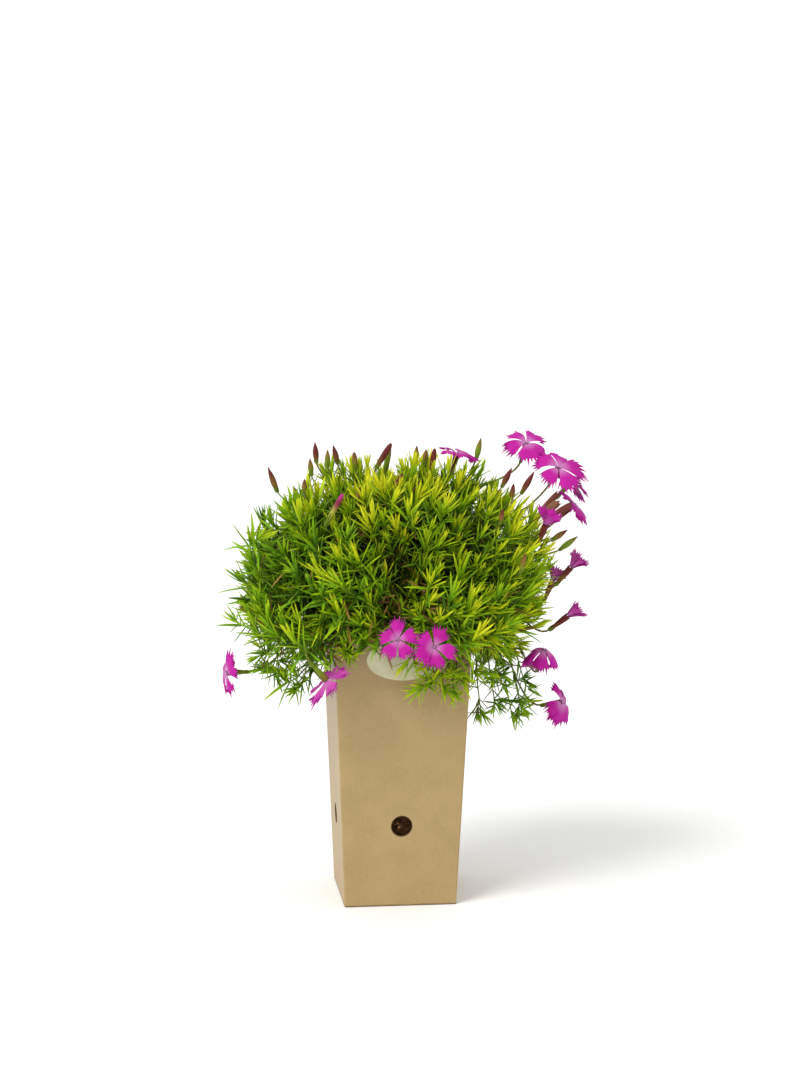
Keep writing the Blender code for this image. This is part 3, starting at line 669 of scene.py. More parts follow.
def grow_leaves(controls, branch_of, size, openness, youth, dryness, pairs, spacing, rng):
    """The leaves of many shoots, and the branch that each leaf belongs to.

    A pair's place is its distance back from the tip along the cubic, and each pair stands a quarter turn
    from the last. Size scales the leaves, openness their spread, youth brightens the tip and dryness browns
    the oldest pairs.
    """
    count = len(controls)
    size, openness, youth, dryness, spacing = (
        np.broadcast_to(value, count)[:, None] for value in (size, openness, youth, dryness, spacing))
    end_speed = 3 * np.linalg.norm(controls[:, 3] - controls[:, 2], axis=1, keepdims=True)
    t = 1 - (PAIR_DISTANCE[:pairs] * spacing + 1.0) / end_speed
    joints = bezier(controls, t)
    axes = bezier_way(controls, t)
    helper = unit(np.cross(axes, unit(rng.normal(size=(count, 1, 3)))))
    other = np.cross(axes, helper)
    turn = rng.uniform(0, 2 * np.pi, (count, 1)) + np.arange(pairs) * np.pi / 2
    turn = turn + rng.normal(0, 0.22, turn.shape)
    leaves = []
    for half_turn in (0, np.pi):
        angle = (turn + half_turn)[..., None]
        away = helper * np.cos(angle) + other * np.sin(angle)
        spread = np.radians(PAIR_SPREAD[:pairs]) * openness + rng.normal(0, 0.11, turn.shape)
        spread = np.clip(spread, 0.05, 1.75)[..., None]
        way = axes * np.cos(spread) + away * np.sin(spread)
        face_up = axes * np.sin(spread) - away * np.cos(spread)
        length = PAIR_LENGTH[:pairs] * size * rng.uniform(0.80, 1.18, turn.shape)
        width = LEAF_WIDTH * size * rng.uniform(0.75, 1.2, turn.shape)
        bend = PAIR_BEND[:pairs] + rng.normal(0, 0.06, turn.shape)
        sag = 0.05 * np.sin(spread[..., 0]) * rng.uniform(0, 2.0, turn.shape)
        age = np.clip(PAIR_YOUTH[:pairs] * youth + rng.normal(0, 0.07, turn.shape), 0, 1.2)
        old = np.arange(pairs) / (len(PAIR_DISTANCE) - 1)
        withering = dryness * np.clip(old - 0.45, 0, 1) * 1.7
        dry = (rng.uniform(0, 1, turn.shape) < withering).astype(float)
        tint = np.stack((age, rng.uniform(0, 1, turn.shape), dry, np.ones_like(age)), -1)
        owner = np.broadcast_to(branch_of[:, None], turn.shape)
        leaves.append((joints, way, face_up, length, width, bend, sag, tint, owner))
    joined = [np.concatenate([part.reshape(-1, *part.shape[2:]) for part in column]) for column in zip(*leaves)]
    roots, ways, lengths = joined[0], joined[1], joined[3]
    samples = roots[:, None] + ways[:, None] * lengths[:, None, None] * np.array((0.3, 0.55, 0.8, 1.0))[:, None]
    kept = ~hidden_by_pot(samples) & ~before_bloom(samples)
    return [part[kept] for part in joined]


# %% [markdown]
# ## Where the blooms stand
#
# Each bloom's throat, the way it faces and how far it has opened are the same values as in the CAD model,
# because its calyx and petals stand for CAD nodes at those places. The finer pieces only add what the simple
# solids leave out. Leaves keep out of the space in front of each open flower.

# %% Blooms
# name: throat, facing, opening, size of the petals, freshness, turn about the throat in degrees
BLOOMS = {
    "top": ((41, 5, 294), (0.22, -0.16, 0.96), 1.05, 0.98, 0.8, 20),
    "crest": ((85, -10, 302), (0.14, -0.55, 0.82), 1.16, 1.16, 1.0, 108),
    "shoulder": ((103, -27, 287), (0.20, -0.70, 0.68), 1.12, 1.24, 1.0, 66),
    "behind_shoulder": ((120, 12, 274), (0.72, 0.20, 0.66), 1.15, 1.00, 0.9, 10),
    "right_upper": ((118, -6, 261), (0.70, -0.16, 0.70), 1.22, 1.06, 0.9, 36),
    "right_half_open": ((92, -44, 252), (0.24, -0.40, 0.88), 0.42, 0.90, 0.9, 30),
    "right_shuttlecock": ((118, 0, 218), (0.64, -0.05, 0.77), 0.25, 0.94, 0.85, 0),
    "right_tight": ((114, -12, 187), (0.78, -0.12, 0.61), 0.20, 0.82, 0.6, 40),
    "right_faded": ((109, 15, 207), (0.42, 0.10, 0.90), 0.42, 0.85, 0.15, 15),
    "right_nodding": ((94, -34, 168), (0.16, -0.42, 0.89), 1.62, 1.14, 0.85, 90),
    "right_hanging": ((109, -18, 130), (0.74, -0.62, 0.24), 1.32, 1.12, 0.85, 96),
    "front_right": ((13, -91, 181), (0.05, -0.95, 0.30), 0.96, 1.04, 1.0, 60),
    "front_left": ((-9, -86, 185), (-0.22, -0.88, 0.42), 1.00, 0.90, 0.95, 20),
    "left_hanging": ((-112, -13, 153), (-0.93, -0.28, 0.04), 1.25, 1.05, 0.9, 10),
    "left_front": ((-53, -70, 158), (0.62, 0.20, -0.72), 1.10, 1.15, 0.5, 115),
    "back_left": ((-58, 86, 232), (-0.35, 0.85, 0.40), 1.00, 1.00, 0.9, 0),
    "back_right": ((38, 100, 226), (0.25, 0.88, 0.40), 1.08, 1.00, 0.9, 0),
}
CALYX_LENGTH = 15.0
AIR_BEFORE_BLOOM = 22
AIR_OPEN, AIR_FURLED, AIR_CALYX = 15.5, 9.5, 3.2


def before_bloom(points):
    """True where leaf samples enter the drum of air round the petals and before them, or touch the calyx."""
    blocked = np.zeros(len(points), bool)
    for throat, facing, opening, *_ in BLOOMS.values():
        axis = unit(facing)
        out = points - throat
        ahead = out @ axis
        beside = np.linalg.norm(out - ahead[..., None] * axis, axis=-1)
        limb = (ahead > -3) & (ahead < AIR_BEFORE_BLOOM) & (beside < (AIR_OPEN if opening > 0.6 else AIR_FURLED))
        calyx = (ahead > -CALYX_LENGTH - 2) & (ahead < 0) & (beside < AIR_CALYX)
        blocked |= (limb | calyx).any(1)
    return blocked


# %% Upright shoots over the dome
UPRIGHT_SHOOTS, INNER_SHOOTS = 660, 300
INNER_INSET = 0.15
LOWEST_SIDE, LOWEST_FRONT = 122, 108


def dome_shoots(count, inset, rng):
    """Cubics of shoots whose tips lie on the dome, times 1 - inset. Outer ones lean up, as if to the light.

    Shoots that point down at the sides are thinned out. The left lobe, where left is 1, grows larger and
    looser, and the tips fall back where gap is 1, in the cleft and half as much in the seams.
    """
    ways = spread_over_dome(count, LOWEST_SIDE, LOWEST_FRONT)
    ways = unit(ways + rng.normal(0, 0.030, ways.shape))
    thinned = np.clip((-ways[:, 2] - 0.02) / 0.25, 0, 1) * (np.abs(ways[:, 0]) > 0.5)
    thinned = thinned * np.where(ways[:, 0] < 0, 0.80, 0.45)
    ways = ways[rng.uniform(0, 1, count) > thinned]
    count = len(ways)
    branch, seam = nearest_branch(ways)
    gap = cleft(ways)
    left = np.clip((-ways[:, 0] - 0.25) / 0.45, 0, 1) * np.clip(1.6 - ways[:, 2], 0, 1)
    size = 0.92 + 0.13 * left - 0.10 * np.clip(ways[:, 2], 0, 1) + rng.normal(0, 0.12, count)
    reach = cushion_radius(ways) * (1 - inset) * (1 - 0.15 * seam - 0.32 * gap)
    reach = reach * (1 + rng.normal(0, 0.030, count))
    lift = np.clip(0.46 + 0.12 * left - 0.55 * np.clip(0.15 - ways[:, 2], 0, 1), 0.05, 0.6)[:, None]
    stray = rng.normal(0, 1, ways.shape) * (0.17 + 0.10 * left[:, None])
    axis = unit(ways * (1 - lift) + np.array((0, 0, 1.0)) * lift + stray)
    apex = HEART + ways * reach[:, None] - axis * (10.0 * size)[:, None]
    leafy = rng.uniform(23, 30, count)[:, None]
    limb = HEART + branch_ways[branch] * rng.uniform(16, 40, count)[:, None]
    bend = apex - axis * leafy
    cubics = np.stack((limb, limb * 0.55 + bend * 0.45 + branch_ways[branch] * 5, bend, apex), 1)
    return cubics, ways, branch, np.maximum(seam * 0.5, gap), left, size


rng = np.random.default_rng(11)
shoots, ways, shoot_branch, gap, left, size = dome_shoots(UPRIGHT_SHOOTS, 0.0, rng)
# Youth also paints light and shade here: it falls in the cleft and half as much along the seams, painted shade in
# the gaps, and the last factor makes shoots that point up lighter and those that point down darker, as the light
# falls from above.
youth = 0.88 - 0.42 * left - 0.30 * gap + rng.normal(0, 0.22, len(shoots))
youth = np.clip(youth, 0.15, 1.25) * np.clip(0.90 + 0.18 * ways[:, 2], 0.70, 1.05)
openness = rng.uniform(0.65, 1.30, len(shoots)) + 0.30 * left
spacing = 0.9 + 0.35 * left + rng.uniform(0, 0.3, len(shoots))
upright = grow_leaves(shoots, shoot_branch, size, openness, youth, 0.12 + 0.7 * gap, 9, spacing, rng)
print("upright shoots:", len(shoots), "with", len(upright[0]), "leaves")

inner, ways, inner_branch, gap, _, size = dome_shoots(INNER_SHOOTS, INNER_INSET, rng)
youth = rng.uniform(0.1, 0.5, len(inner))
within = grow_leaves(inner, inner_branch, size * 0.95, rng.uniform(0.9, 1.4, len(inner)), youth,
                     0.3 + 0.7 * gap, 8, 1.0, rng)
print("inner shoots:", len(inner), "with", len(within[0]), "leaves")

# %% [markdown]
# ## Hanging shoots
#
# Some shoots have grown over the rim and hang beside the pot, with their tips curling up again. They are the
# same shoots on other curves: out from a branch, over, down, and up a little at the tip. Short side shoots
# stand along them. The ones in front are young and yellow, the ones at the sides dark.

# %% Hanging shoots
FRONT_TIPS = (
    (15, -62, 151), (25, -63, 149), (33, -60, 145), (20, -66, 160), (5, -66, 167), (38, -58, 153), (46, -54, 158),
    (-39, -58, 173), (-50, -55, 166),
)
SIDE_TIPS = (
    (58, -20, 124), (69, -10, 129), (80, -14, 121), (88, -4, 124), (90, -12, 139),
    (70, -34, 145), (-68, -38, 148), (-92, -24, 158), (-84, 18, 150), (-60, 8, 144), (-76, -10, 152), (64, 34, 146),
)
SIDE_SHOOTS = 3
OVER_THE_RIM = 206


def hanging_cubics(tips):
    """Cubics that leave a branch's outer twigs, arch over the rim and come down to the tips."""
    level = tips * (1, 1, 0)
    way = unit(level + np.array((0, 0, 8.0)))
    owner, _ = nearest_branch(way)
    start = HEART + way * 42
    over = start + (level - start * (1, 1, 0)) * 0.85
    over[:, 2] = OVER_THE_RIM
    low = tips - unit(level) * 9 - np.array((0, 0, 9.0))
    return owner, np.stack((start, over, low, tips), 1)


tips = np.array(FRONT_TIPS + SIDE_TIPS, float)
in_front = np.arange(len(tips)) < len(FRONT_TIPS)
hanging_branch, hanging = hanging_cubics(tips)
hanging_youth = np.where(in_front, 0.66, 0.34) * rng.uniform(0.7, 1.2, len(tips))
hanging_leaves = grow_leaves(hanging, hanging_branch, np.where(in_front, 0.78, 0.84), 1.45,
                             hanging_youth, 0.35, 9, np.where(in_front, 1.25, 1.7), rng)
side_from = rng.uniform(0.60, 0.95, (len(tips), SIDE_SHOOTS))
side_joint = bezier(hanging, side_from).reshape(-1, 3)
straying = rng.normal(0, 0.9, side_joint.shape) * (1, 1, 0.5) + (0, 0, 0.35)
side_way = unit(bezier_way(hanging, side_from).reshape(-1, 3) + straying)
side_tip = side_joint + side_way * rng.uniform(7, 15, (len(side_joint), 1)) + np.array((0, 0, 2.5))
side_shoots = np.stack(
    (side_joint, side_joint * 0.7 + side_tip * 0.3, side_joint * 0.3 + side_tip * 0.7, side_tip), 1)
side_branch = np.repeat(hanging_branch, SIDE_SHOOTS)
side_youth = np.repeat(hanging_youth, SIDE_SHOOTS) * rng.uniform(0.8, 1.4, len(side_shoots))
side_leaves = grow_leaves(side_shoots, side_branch, 0.76, 1.1, side_youth, 0.2, 5, 0.75, rng)
print("hanging shoots:", len(tips), "with", len(hanging_leaves[0]) + len(side_leaves[0]), "leaves")

# %% [markdown]
# ## Leaf finish
#
# Young leaves are yellow green, grown ones mid green, the oldest dark, and dead ones straw to red brown. The
# tint's red channel carries the youth, green a random number and blue the dryness. Its last channel carries
# the depth in the cushion, and deep leaves are mixed towards near black, painted shade. Each leaf is also
# lighter towards its tip and along its hollow. The surface has the soft sheen of a thin wax coat.

# %% Leaf finish
leaf = Finish("needle_leaf", 0.5, 0.10)
young = leaf.tint("Red")
chance = leaf.tint("Green")
dried = leaf.tint("Blue")
outer = leaf.tint("Alpha")
to_tip = leaf.along("Y")
to_side = leaf.along("X")
mottle = leaf.noise(0.6, 3.0)
brightness = young + (to_tip - 0.45) * 0.42 + (chance - 0.5) * 0.30 + (mottle - 0.5) * 0.3
midrib = leaf.maths("ABSOLUTE", to_side - 0.5, 0.0).step(0.16, 0.0)
leaf.wear(
    (0.046, 0.125, 0.004),
    (brightness.step(0.0, 0.34), (0.150, 0.322, 0.004)),
    (brightness.step(0.28, 0.66), (0.300, 0.452, 0.004)),
    (brightness.step(0.60, 1.05), (0.620, 0.635, 0.014)),
    (midrib * 0.20, (0.42, 0.52, 0.03)),
    (dried, leaf.mix(chance, (0.095, 0.035, 0.008), (0.36, 0.22, 0.05))),
    # Painted shade: by the depth in the alpha channel, leaves deep in the cushion and in the cleft go near black.
    ((1 - outer) * 0.78, (0.010, 0.016, 0.001)),
    roughness=dried * 0.3 + 0.44 + mottle * 0.1,
    bump=mottle + midrib * 0.5,
    depth=0.05,
)

every_leaf = [np.concatenate(parts) for parts in zip(upright, within, hanging_leaves, side_leaves)]
leaf_branch = every_leaf.pop()
total = 0
for k in range(BRANCHES):
    foliage = leaf_blades(*[part[leaf_branch == k] for part in every_leaf])
    name = f"branch_{k + 1:02d}"
    add_piece(f"leaves_{k + 1:02d}", foliage, leaf.material, [name], sharp_above=60)
    total += len(foliage.triangles)
print("leaf triangles:", total)

# %% [markdown]
# ## Woody stems
#
# Under the leaves every shoot has a thin stem, green near its tip and corky brown below, and the stems of one
# branch run together into a woody foot that stands in the soil. They are tubes along the same cubics as the
# leaves.

# %% Stems and twigs
STEM_SPREAD = 29
SOIL_TOP = 170
STEM_DEPTH = 11

# Each branch's foot lies out from the middle towards its own side, like the seeds of a sunflower.
foot_reach = STEM_SPREAD * np.sqrt((np.arange(BRANCHES) + 0.5) / BRANCHES)
feet = unit(branch_ways * (1, 1, 0)) * foot_reach[:, None] + (0, 0, SOIL_TOP - STEM_DEPTH)
bark = Finish("woody_stem", 0.75, 0.15)
bark_grain = bark.noise(1.2, 4.0, 0.7, (1, 1, 0.3))
bark_age = bark.tint("Red")
bark_light = bark_grain.step(0.3, 0.7)
bark.wear(
    bark.mix(bark_light, (0.040, 0.020, 0.009), (0.15, 0.080, 0.032)),
    ((bark.along("Y") * 0.8 + bark_age * 0.5).step(0.50, 0.85),
     bark.mix(bark_light, (0.09, 0.16, 0.008), (0.20, 0.28, 0.012))),
    # Painted shade: stems deep inside the cushion are mixed towards near black by their depth.
    ((1 - bark.tint("Alpha")) * 0.85, (0.010, 0.008, 0.002)),
    bump=bark_grain,
    depth=0.12,
)
for k in range(BRANCHES):
    trunk = (feet[k], feet[k] + (0, 0, 26), HEART + branch_ways[k] * 20, HEART + branch_ways[k] * 42)
    wood = cubic_tubes(trunk, 14, 1.75, 1.0, 8, (0, 0, 0, 1))
    for controls, owners, thick in ((shoots, shoot_branch, 0.60), (inner, inner_branch, 0.55),
                                    (hanging, hanging_branch, 0.60), (side_shoots, side_branch, 0.40)):
        if (owners == k).any():
            mine = controls[owners == k]
            wood = wood + cubic_tubes(mine, 7, thick * 1.15, thick * 0.65, 5, (0.5, 0, 0, 1))
    wood.tint[:, 3] = painted_depth_shade(wood.points)
    add_piece(f"stems_{k + 1:02d}", wood, bark.material, [f"branch_{k + 1:02d}"])
print("stems made for", BRANCHES, "branches")

# %% [markdown]
# ## Thatch inside the dome
#
# Between the stems, a cushion plant is packed with old leaves that have died and stayed. Dry leaves are
# scattered round a rough inner lump, which the eye meets only in the gaps. The lump is coloured near black,
# painted shade for the dark inside of the dome, and the dry leaves get the leaves' painted shade by depth.

# %% Thatch
THATCH_SHARE = 0.56
THATCH_FOOT = 187
# How often a wave of roughness runs over the lump, and the two axes it runs along.
THATCH_WAVES = ((1, 0, 2), (2, 1, 0), (3, 2, 1), (5, 0, 1))


def thatch_lump(rows, columns):
    """A ball, from its foot to its top, whose radius is a share of the dome's, roughened by summed waves."""
    fall = np.linspace(np.pi - 0.03, 0.03, rows)[:, None]
    turn = turns(columns)[None]
    direction = np.stack((*polar(turn, np.sin(fall)), np.cos(fall) + 0 * turn), -1)
    waves = sum(
        np.sin(often * (direction[..., a] * 9 + 1)) * np.cos(often * direction[..., b] * 8) / often
        for often, a, b in THATCH_WAVES)
    radius = THATCH_SHARE * cushion_radius(direction) * (1 + 0.05 * waves)
    points = HEART + direction * radius[..., None]
    points[..., 2] = np.maximum(points[..., 2], THATCH_FOOT + 1.5 * waves)
    uv = np.stack((turn / (2 * np.pi) + 0 * fall, fall / np.pi + 0 * turn), -1)
    return closed_rings(points, points[0].mean(0), points[-1].mean(0), uv, (0, 0, 0, 1))


dry = Finish("thatch_painted_shade", 0.9, 0.05)
dry_grain = dry.noise(0.8, 5.0, 0.75)
dry.wear(
    # Near black: painted shade for the dark inside of the dome, with a dark brown grain over it.
    (0.006, 0.006, 0.001),
    (dry_grain.step(0.35, 0.7), (0.030, 0.022, 0.005)),
    bump=dry_grain,
    depth=1.2,
)
add_piece("thatch", thatch_lump(60, 120), dry.material, sharp_above=180)

# Dead leaves lie anywhere in the heart. More of them show in the cleft and low in front, near these two ways,
# but none hang down before the front wall.
DRY_LEAVES = 2200
DRY_WIDTH = 1.3
WALL_FRONT = -40
LOW_FRONT = (((0.45, -0.86, -0.22), 14), ((-0.17, -0.98, -0.05), 13))

rng = np.random.default_rng(5)
dry_out = unit(spread_over_dome(DRY_LEAVES, 118, 104) + rng.normal(0, 0.03, (DRY_LEAVES, 3)))
in_cleft = cleft(dry_out)
low_front = np.maximum(*[bump(dry_out, *place) for place in LOW_FRONT])
showing = np.clip(0.9 * in_cleft * (dry_out[:, 2] < 0.15) + low_front, 0, 1)
dry_depth = rng.uniform(0.46, 0.60, DRY_LEAVES) + showing * rng.uniform(0.08, 0.27, DRY_LEAVES)
dry_root = HEART + dry_out * (cushion_radius(dry_out) * dry_depth)[:, None]
dry_way = unit(dry_out + rng.normal(0, 0.75, dry_out.shape))
dry_face = unit(np.cross(dry_way, unit(rng.normal(size=dry_way.shape))))
dry_length = rng.uniform(7, 15, DRY_LEAVES)
ends = dry_root[:, None] + dry_way[:, None] * dry_length[:, None, None] * np.array((0.05, 0.5, 1.0))[:, None]
before_wall = ((ends[..., 1] < WALL_FRONT) & (ends[..., 2] < POT_HEIGHT)).any(1)
kept = ~hidden_by_pot(ends) & ~before_wall
dead = rng.uniform(0, 1, DRY_LEAVES) < 0.22 + 0.7 * showing
dry_tint = np.column_stack((
    rng.uniform(0, 0.3, DRY_LEAVES), rng.uniform(0, 0.8, DRY_LEAVES), dead.astype(float), np.ones(DRY_LEAVES)))
dry_bend = rng.normal(0, 0.25, DRY_LEAVES)
parts = (dry_root, dry_way, dry_face, dry_length, np.full(DRY_LEAVES, DRY_WIDTH), dry_bend, 0 * dry_bend, dry_tint)
# leaf_blades gives these the painted depth shade too, so the deep ones are near black.
litter = leaf_blades(*[part[kept] for part in parts])
add_piece("dead_leaves", litter, leaf.material, sharp_above=60)
print("dead leaves:", int(kept.sum()))

# %% [markdown]
# ## Petals
#
# A petal is a narrow claw inside the calyx and a fan outside it, cut into eight or nine sharp teeth. The
# five fans lie round the throat, so each is drawn in polar terms: u turns about the throat's axis, and v goes
# outward. An open petal leans out from the axis until it lies flat or hangs back, and all droop a little at the
# end. In a bloom that is still furled the petals stay upright and overlap like a twisted cup, so one formula
# gives every age of bloom. Top and bottom sheets a sixth of a millimetre apart are joined round the edge.

# %% Petal surfaces
PETALS = 5
PETAL_LENGTH = 15.0
TEETH = 8
NOTCH_DEPTH = 0.28
PETAL_DROOP = 0.016
PETAL_THICKNESS = 0.17


def sheet_solid(grids, thickness, tints):
    """Closes many thin sheets: grids is sheets x rows x columns x 3.

    The two sides lie half the thickness along the normal and against it. The tint's last channel is 1 on the
    side that the normal leaves, and 0 on the other.
    """
    count, rows, columns = grids.shape[:3]
    normal = unit(np.cross(np.gradient(grids, axis=1), np.gradient(grids, axis=2)))
    both = np.concatenate((grids + normal * thickness / 2, grids - normal * thickness / 2), 1)
    wall = grid_triangles(rows, columns, False)
    size = rows * columns
    number = np.arange(size).reshape(rows, columns)
    border = np.concatenate((number[0], number[1:, -1], number[-1, -2::-1], number[-2:0:-1, 0]))
    following = np.roll(border, -1)
    rim = np.vstack((
        np.column_stack((following + size, border + size, border)),
        np.column_stack((following, following + size, border)),
    ))
    triangles = np.vstack((wall[:, ::-1], wall + size, rim))
    u, v = np.meshgrid(np.linspace(0, 1, columns), np.linspace(0, 1, rows))
    uv = np.stack((u, v), -1).reshape(-1, 2)
    sheets = copies(both.reshape(count, -1, 3), triangles, np.vstack((uv, uv)), tints)
    sheets.tint.reshape(count, -1, 4)[:, size:, 3] = 0
    return sheets


def turned(points, throat, facing, spin):
    """Takes points from the bloom's own frame, with +Z out of the throat, to the plant's."""
    axis = unit(facing)
    side = unit(np.cross((0.0, 0.0, 1.0) if abs(axis[2]) < 0.995 else (1.0, 0.0, 0.0), axis))
    cos, sin = polar(spin)
    about = np.array(((cos, sin, 0), (-sin, cos, 0), (0, 0, 1)))
    return points @ about @ np.stack((side, np.cross(axis, side), axis)) + throat


def petal_fans(opening, size, rng, rows=11):
    """Five petals about +Z as a 5 x rows x columns x 3 array.

    Opening is 0 in a furled bloom, 1 in a flat one and more in one that folds back. It sets the lean from
    upright, which goes from the throat's to the tip's with v to the power 0.7. The distance from the axis and
    the height are the running sums of the lean's sine and cosine. A petal spans its middle angle plus u times
    a half angle of its own. Every second column is a notch, shortened by about a quarter with the fourth power
    of v. Off is how far waves and the overlap lift a point off the fan.
    """
    columns = 2 * TEETH + 1
    v = np.linspace(0, 1, rows)[None, :, None]
    u = np.linspace(-1, 1, columns)[None, None, :]
    furled = 1 - min(opening, 1.0)
    folded = max(opening - 1, 0.0)
    first = math.radians(6 + 50 * min(opening, 1.0) + 70 * folded)
    loose = rng.normal(0, 0.05 + 0.11 * min(opening, 1), (PETALS, 1, 1))
    last = math.radians(8 + 84 * opening + 20 * folded) + loose
    lean = first + (last - first) * v**0.7
    step = PETAL_LENGTH * size * rng.uniform(0.86, 1.10, (PETALS, 1, 1)) / (rows - 1)
    reach = (np.cumsum(np.sin(lean), 1) - np.sin(lean)) * step
    rise = (np.cumsum(np.cos(lean), 1) - np.cos(lean)) * step
    notch = NOTCH_DEPTH * (np.arange(columns) % 2) + rng.uniform(-0.09, 0.12, (PETALS, columns))
    shorten = 1 - (notch[:, None] + 0.13 * np.abs(u) ** 2.4) * v**4
    broad = rng.uniform(-7, 7, (PETALS, 1, 1))
    half_angle = np.radians(31 + 11 * furled + (broad + 18 * furled) * v)
    phase = rng.uniform(0, 6, (PETALS, 1, 1))
    off = (0.75 * np.sin(u * 4.5 + phase) + 0.16 * np.sin(u * 15 + phase)) * v**2 - 0.9 * u**2 * v
    off = off + u * (0.9 * furled + 0.7 * (1 - furled) * v)
    radius = 0.9 + reach * shorten - np.cos(lean) * off
    height = 0.4 + rise * shorten + np.sin(lean) * off
    middle = turns(PETALS) + rng.normal(0, 0.14, PETALS) * (1 - 0.8 * furled)
    return np.stack((*polar(middle[:, None, None] + u * half_angle, radius), height), -1)


def throat_threads(rng):
    """Two curled styles and five stamens that stand out of the throat."""
    t = np.linspace(0, 1, 6)[None]
    turn = np.append(rng.uniform(0, 1) * np.pi + np.array((0, np.pi)), rng.uniform(0, 2 * np.pi, 5))
    lean = np.append((2.6, 2.4), rng.uniform(0.4, 1.0, 5))
    tall = np.append((3.6, 3.2), rng.uniform(0.9, 1.9, 5))
    centres = np.stack((*polar(turn[:, None], lean[:, None] * t**2), tall[:, None] * t), -1)
    radii = np.where((np.arange(7) < 2)[:, None], 0.20 - 0.08 * t, 0.12 + 0.22 * (t > 0.75))
    return closed_tubes(centres, radii, 5, (0, 0, 1, 1))


# %% [markdown]
# ## Petal finish
#
# Fresh petals are a strong magenta. They pale to lilac in fine streaks at the throat, with darker veins
# fanning out to the teeth, and old petals turn dull purple. Streaks follow the petal, so this finish reads
# the UV map: a wave across it, sharpened and faded along it.

# %% Petal finish
petal = Finish("petal", 0.55, 0.12)
fresh = petal.tint("Red")
petal_chance = petal.tint("Green")
is_thread = petal.tint("Blue")
upper_side = petal.tint("Alpha")
out = petal.along("Y")
over = petal.along("X")
streak_noise = petal.noise(0.35, 2.0)
vein = (over * 74.0 + streak_noise * 2.5).wave()
velvet = petal.noise(1.1, 3.0)
pale = (out + (vein - 0.5) * 0.34).step(0.34, 0.04)
petal.wear(
    (0.21, 0.0035, 0.105),
    (fresh.step(0.1, 0.7), (0.395, 0.005, 0.235)),
    (petal_chance * 0.5, (0.48, 0.013, 0.33)),
    (vein.step(0.55, 1.0) * (1 - out * 0.5) * 0.40, (0.27, 0.002, 0.15)),
    (pale * 0.85, (0.58, 0.29, 0.52)),
    # Painted shade: the petals' feet, down inside the calyx, are darkened.
    (out.step(0.045, 0.0) * 0.8, (0.12, 0.006, 0.06)),
    ((1 - upper_side) * 0.55, (0.52, 0.10, 0.40)),
    (is_thread, (0.58, 0.34, 0.54)),
    (velvet.step(0.3, 0.8) * 0.16, (0.60, 0.045, 0.44)),
    roughness=velvet * 0.2 + 0.45,
    bump=vein * 0.7 + velvet * 0.3,
    depth=0.08,
)
rng = np.random.default_rng(23)
for name, (throat, facing, opening, size, freshness, turn) in BLOOMS.items():
    grid = turned(petal_fans(opening, size, rng), throat, facing, math.radians(turn))
    grid[..., 2] -= PETAL_DROOP * ((grid - throat)[..., :2] ** 2).sum(-1)
    tints = np.column_stack((
        np.full(PETALS, freshness), rng.uniform(0, 1, PETALS), np.zeros(PETALS), np.ones(PETALS)))
    corolla = sheet_solid(grid, PETAL_THICKNESS, tints)
    threads = throat_threads(rng)
    threads.points = turned(threads.points, throat, facing, 0)
    add_piece(f"corolla_{name}", corolla + threads, petal.material, [f"petals_{name}"], sharp_above=70)
print("blooms:", len(BLOOMS))

# %% [markdown]
# ## Calyces, stalks and buds
#
# The calyx is a slim ribbed cone that ends in five pointed teeth, with small scales clasping its foot. It is a
# turned profile whose mouth is cut by a triangle wave, and whose radius has fine ribs. A closed bud is a
# spindle with the same ribs. Green below, both turn red brown above.

# %% Calyx and bud surfaces
CALYX_RIBS = 15
MOUTH_DEPTH = 2.5
# A bud's foot, its tip, how red it is, and how blunt. Below -0.5, redness stands for a pink tip.
BUDS = (
    ((-52, 10, 289), (-53, 10, 302), 0.95, 0.0), ((-79, -5, 271), (-85, -5, 287), 0.75, 0.0),
    ((-57, -10, 282), (-58, -10, 293), 0.45, 0.0), ((-46, -5, 287), (-46, -5, 298), 0.35, 0.1),
    ((-38, 10, 288), (-41, 9, 300), 0.85, 0.0), ((-27, 0, 285), (-28, 0, 296), 0.5, 0.5),
    ((-14, -5, 286), (-4, -5, 302), 1.0, 0.9), ((-7, 2, 284), (-4, 2, 300), 0.3, 0.6),
    ((18, -5, 287), (19, -5, 298), 0.5, 0.2), ((22, -9, 284), (24, -10, 299), 1.0, 0.7),
    ((54, 4, 291), (57, 4, 305), 0.3, 0.0), ((67, -22, 275), (73, -23, 287), 0.95, 0.1),
    ((79, -27, 271), (87, -28, 285), 1.0, 0.1), ((71, -35, 268), (72, -36, 278), 0.8, 0.2),
    ((101, -20, 239), (111, -22, 246), 0.6, 0.0), ((109, -7, 231), (121, -8, 240), 0.25, 0.0),
    ((73, -57, 222), (76, -59, 235), 0.45, 0.4), ((60, -57, 255), (61, -59, 264), 0.75, 0.2),
    ((-6, -42, 276), (-1, -43, 286), 0.9, 0.1), ((-63, -27, 272), (-63, -28, 281), 0.6, 0.2),
    ((-95, -20, 193), (-105, -22, 198), 0.6, 0.2), ((-30, -42, 268), (-29, -43, 277), 0.6, 0.1),
    ((-20, 60, 278), (-22, 66, 290), 0.8, 0.0), ((75, 55, 255), (81, 60, 265), 0.6, 0.0),
    ((20, 52, 284), (21, 55, 296), 0.5, 0.1), ((-60, 52, 258), (-64, 56, 269), 0.8, 0.0),
    ((-52, -60, 255), (-42, -66, 275), -1.0, 0.9),
)


